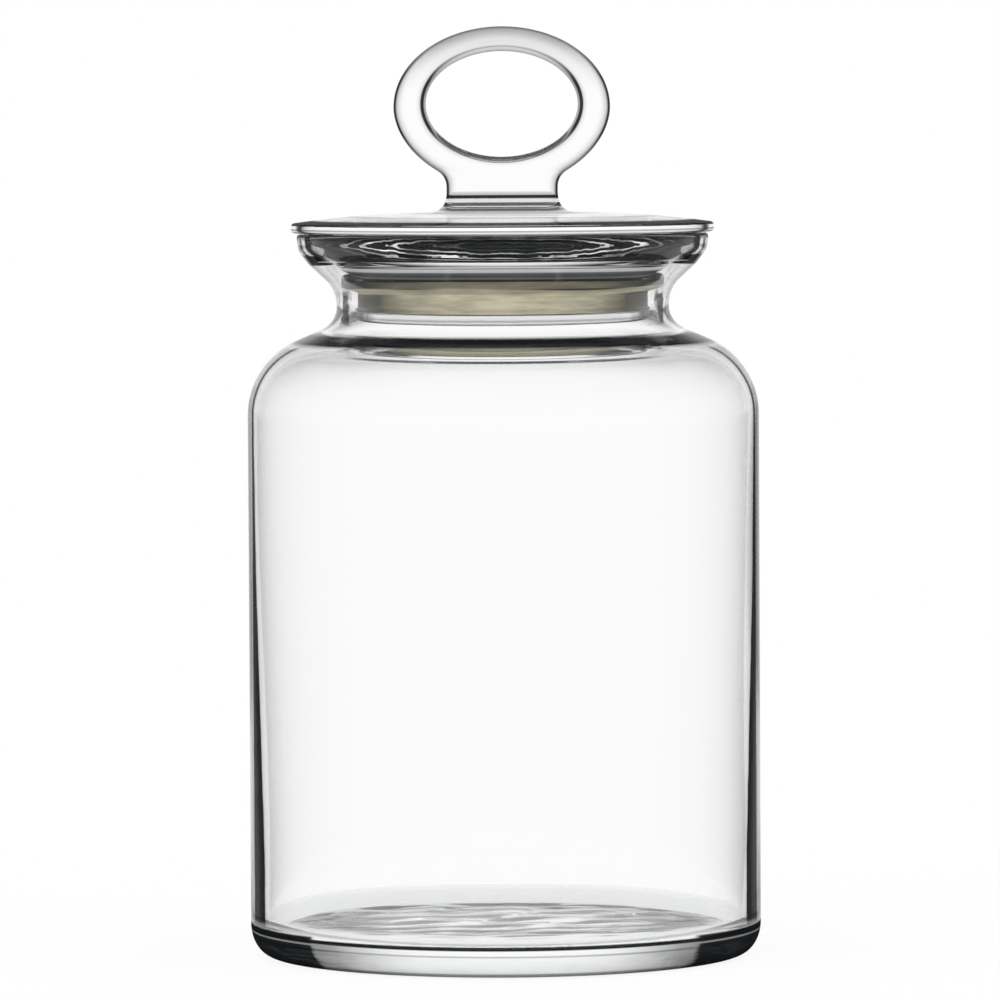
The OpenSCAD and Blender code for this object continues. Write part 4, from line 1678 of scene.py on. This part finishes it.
# %% Floor: what each kind of ray finds there
material, nodes, links = new_material("white_floor")
sums = Sums(material.node_tree)
out = nodes.new("ShaderNodeOutputMaterial")
matt = nodes.new("ShaderNodeBsdfDiffuse")
matt.inputs["Color"].default_value = FLOOR_WHITE
shine = nodes.new("ShaderNodeEmission")
seen, mirrored, bent, thick = ray_kinds(sums)
path = nodes.new("ShaderNodeLightPath")
crossed = sums.do("GREATER_THAN", path.outputs["Transmission Depth"], BACK_CROSSINGS)
thrown_back = sums.do("GREATER_THAN", path.outputs["Glossy Depth"], 0.5)
lost = sums.do("MAXIMUM", thick, sums.do("MULTIPLY", crossed, thrown_back))
lost = sums.do("MULTIPLY", lost, LOST_SHARE)
slant = sums.turned_away()
bent_level = sums.do("MULTIPLY", sums.ramp(slant, BENT_SLANT), sums.do("SUBTRACT", 1.0, lost))
level = sums.do("MULTIPLY_ADD", bent, bent_level, seen)
level = sums.do("MULTIPLY_ADD", mirrored, sums.ramp(slant, MIRROR_SLANT), level)
links.new(level, shine.inputs["Strength"])
x, y, _ = sums.parts(sums.place()[0])
near = sums.levels(sums.length(x, y), NEAR_SHADOW)
share = sums.do("MAXIMUM", sums.do("MAXIMUM", bent, mirrored), sums.do("MULTIPLY", seen, near))
mix = nodes.new("ShaderNodeMixShader")
links.new(share, mix.inputs["Fac"])
links.new(matt.outputs[0], mix.inputs[1])
links.new(shine.outputs[0], mix.inputs[2])
links.new(mix.outputs[0], out.inputs["Surface"])
floor_mesh.materials.append(material)
print("the floor takes", len(nodes), "nodes")

# %% [markdown]
# ## Lamps
# Two large soft boxes light the seal and the matt tones, and lay a soft shadow on the floor. Their
# own shapes would show in the glass as bright blots, so neither mirrored nor bent light finds
# them.

# %% Lamps: two soft boxes
LAMP_AIM = (0, 0, 0.1)


def soft_box(name, place, size, watts):
    """A rectangular lamp at this place, pointed at the middle of the canister."""
    lamp = bpy.data.lights.new(name, "AREA")
    lamp.shape = "RECTANGLE"
    lamp.size = size[0]
    lamp.size_y = size[1]
    lamp.energy = watts
    obj = bpy.data.objects.new(name, lamp)
    scene.collection.objects.link(obj)
    obj.location = place
    obj.visible_glossy = False
    obj.visible_transmission = False
    x, y, z = np.array(LAMP_AIM) - np.array(place)
    obj.rotation_euler = (math.atan2(math.hypot(x, y), -z), 0, math.atan2(y, x) - math.pi / 2)
    print(name, "gives", watts, "W")


soft_box("left_box", (-0.9, -0.8, 0.7), (0.5, 0.9), 4)
soft_box("right_box", (1.0, -0.5, 0.6), (0.4, 0.8), 3)

# %% [markdown]
# ## The camera
# A long lens from nearly two metres away, at about the height of the handle: verticals stay
# parallel and the rims become flat ovals. The lens follows from how large the canister should
# stand in the frame.

# %% Camera
CAMERA_AWAY = 1.9
CAMERA_H = 0.203
CAMERA_SIDE = -0.0004
CAMERA_ROLL = 0.3
AIM_H = 0.10755
PIXELS_PER_M = 4222.0
FRAME_PIXELS = 1000
camera_data = bpy.data.cameras.new("camera")
camera_data.sensor_width = 36
reach = math.hypot(CAMERA_AWAY, CAMERA_H - AIM_H)
camera_data.lens = PIXELS_PER_M * reach * camera_data.sensor_width / FRAME_PIXELS
camera_data.clip_end = 50
camera = bpy.data.objects.new("camera", camera_data)
scene.collection.objects.link(camera)
camera.location = (CAMERA_SIDE, -CAMERA_AWAY, CAMERA_H)
dip = math.atan2(CAMERA_H - AIM_H, CAMERA_AWAY)
camera.rotation_euler = (math.pi / 2 - dip, math.radians(CAMERA_ROLL), 0)
scene.camera = camera
print("lens %.0f mm" % camera_data.lens)

# %% [markdown]
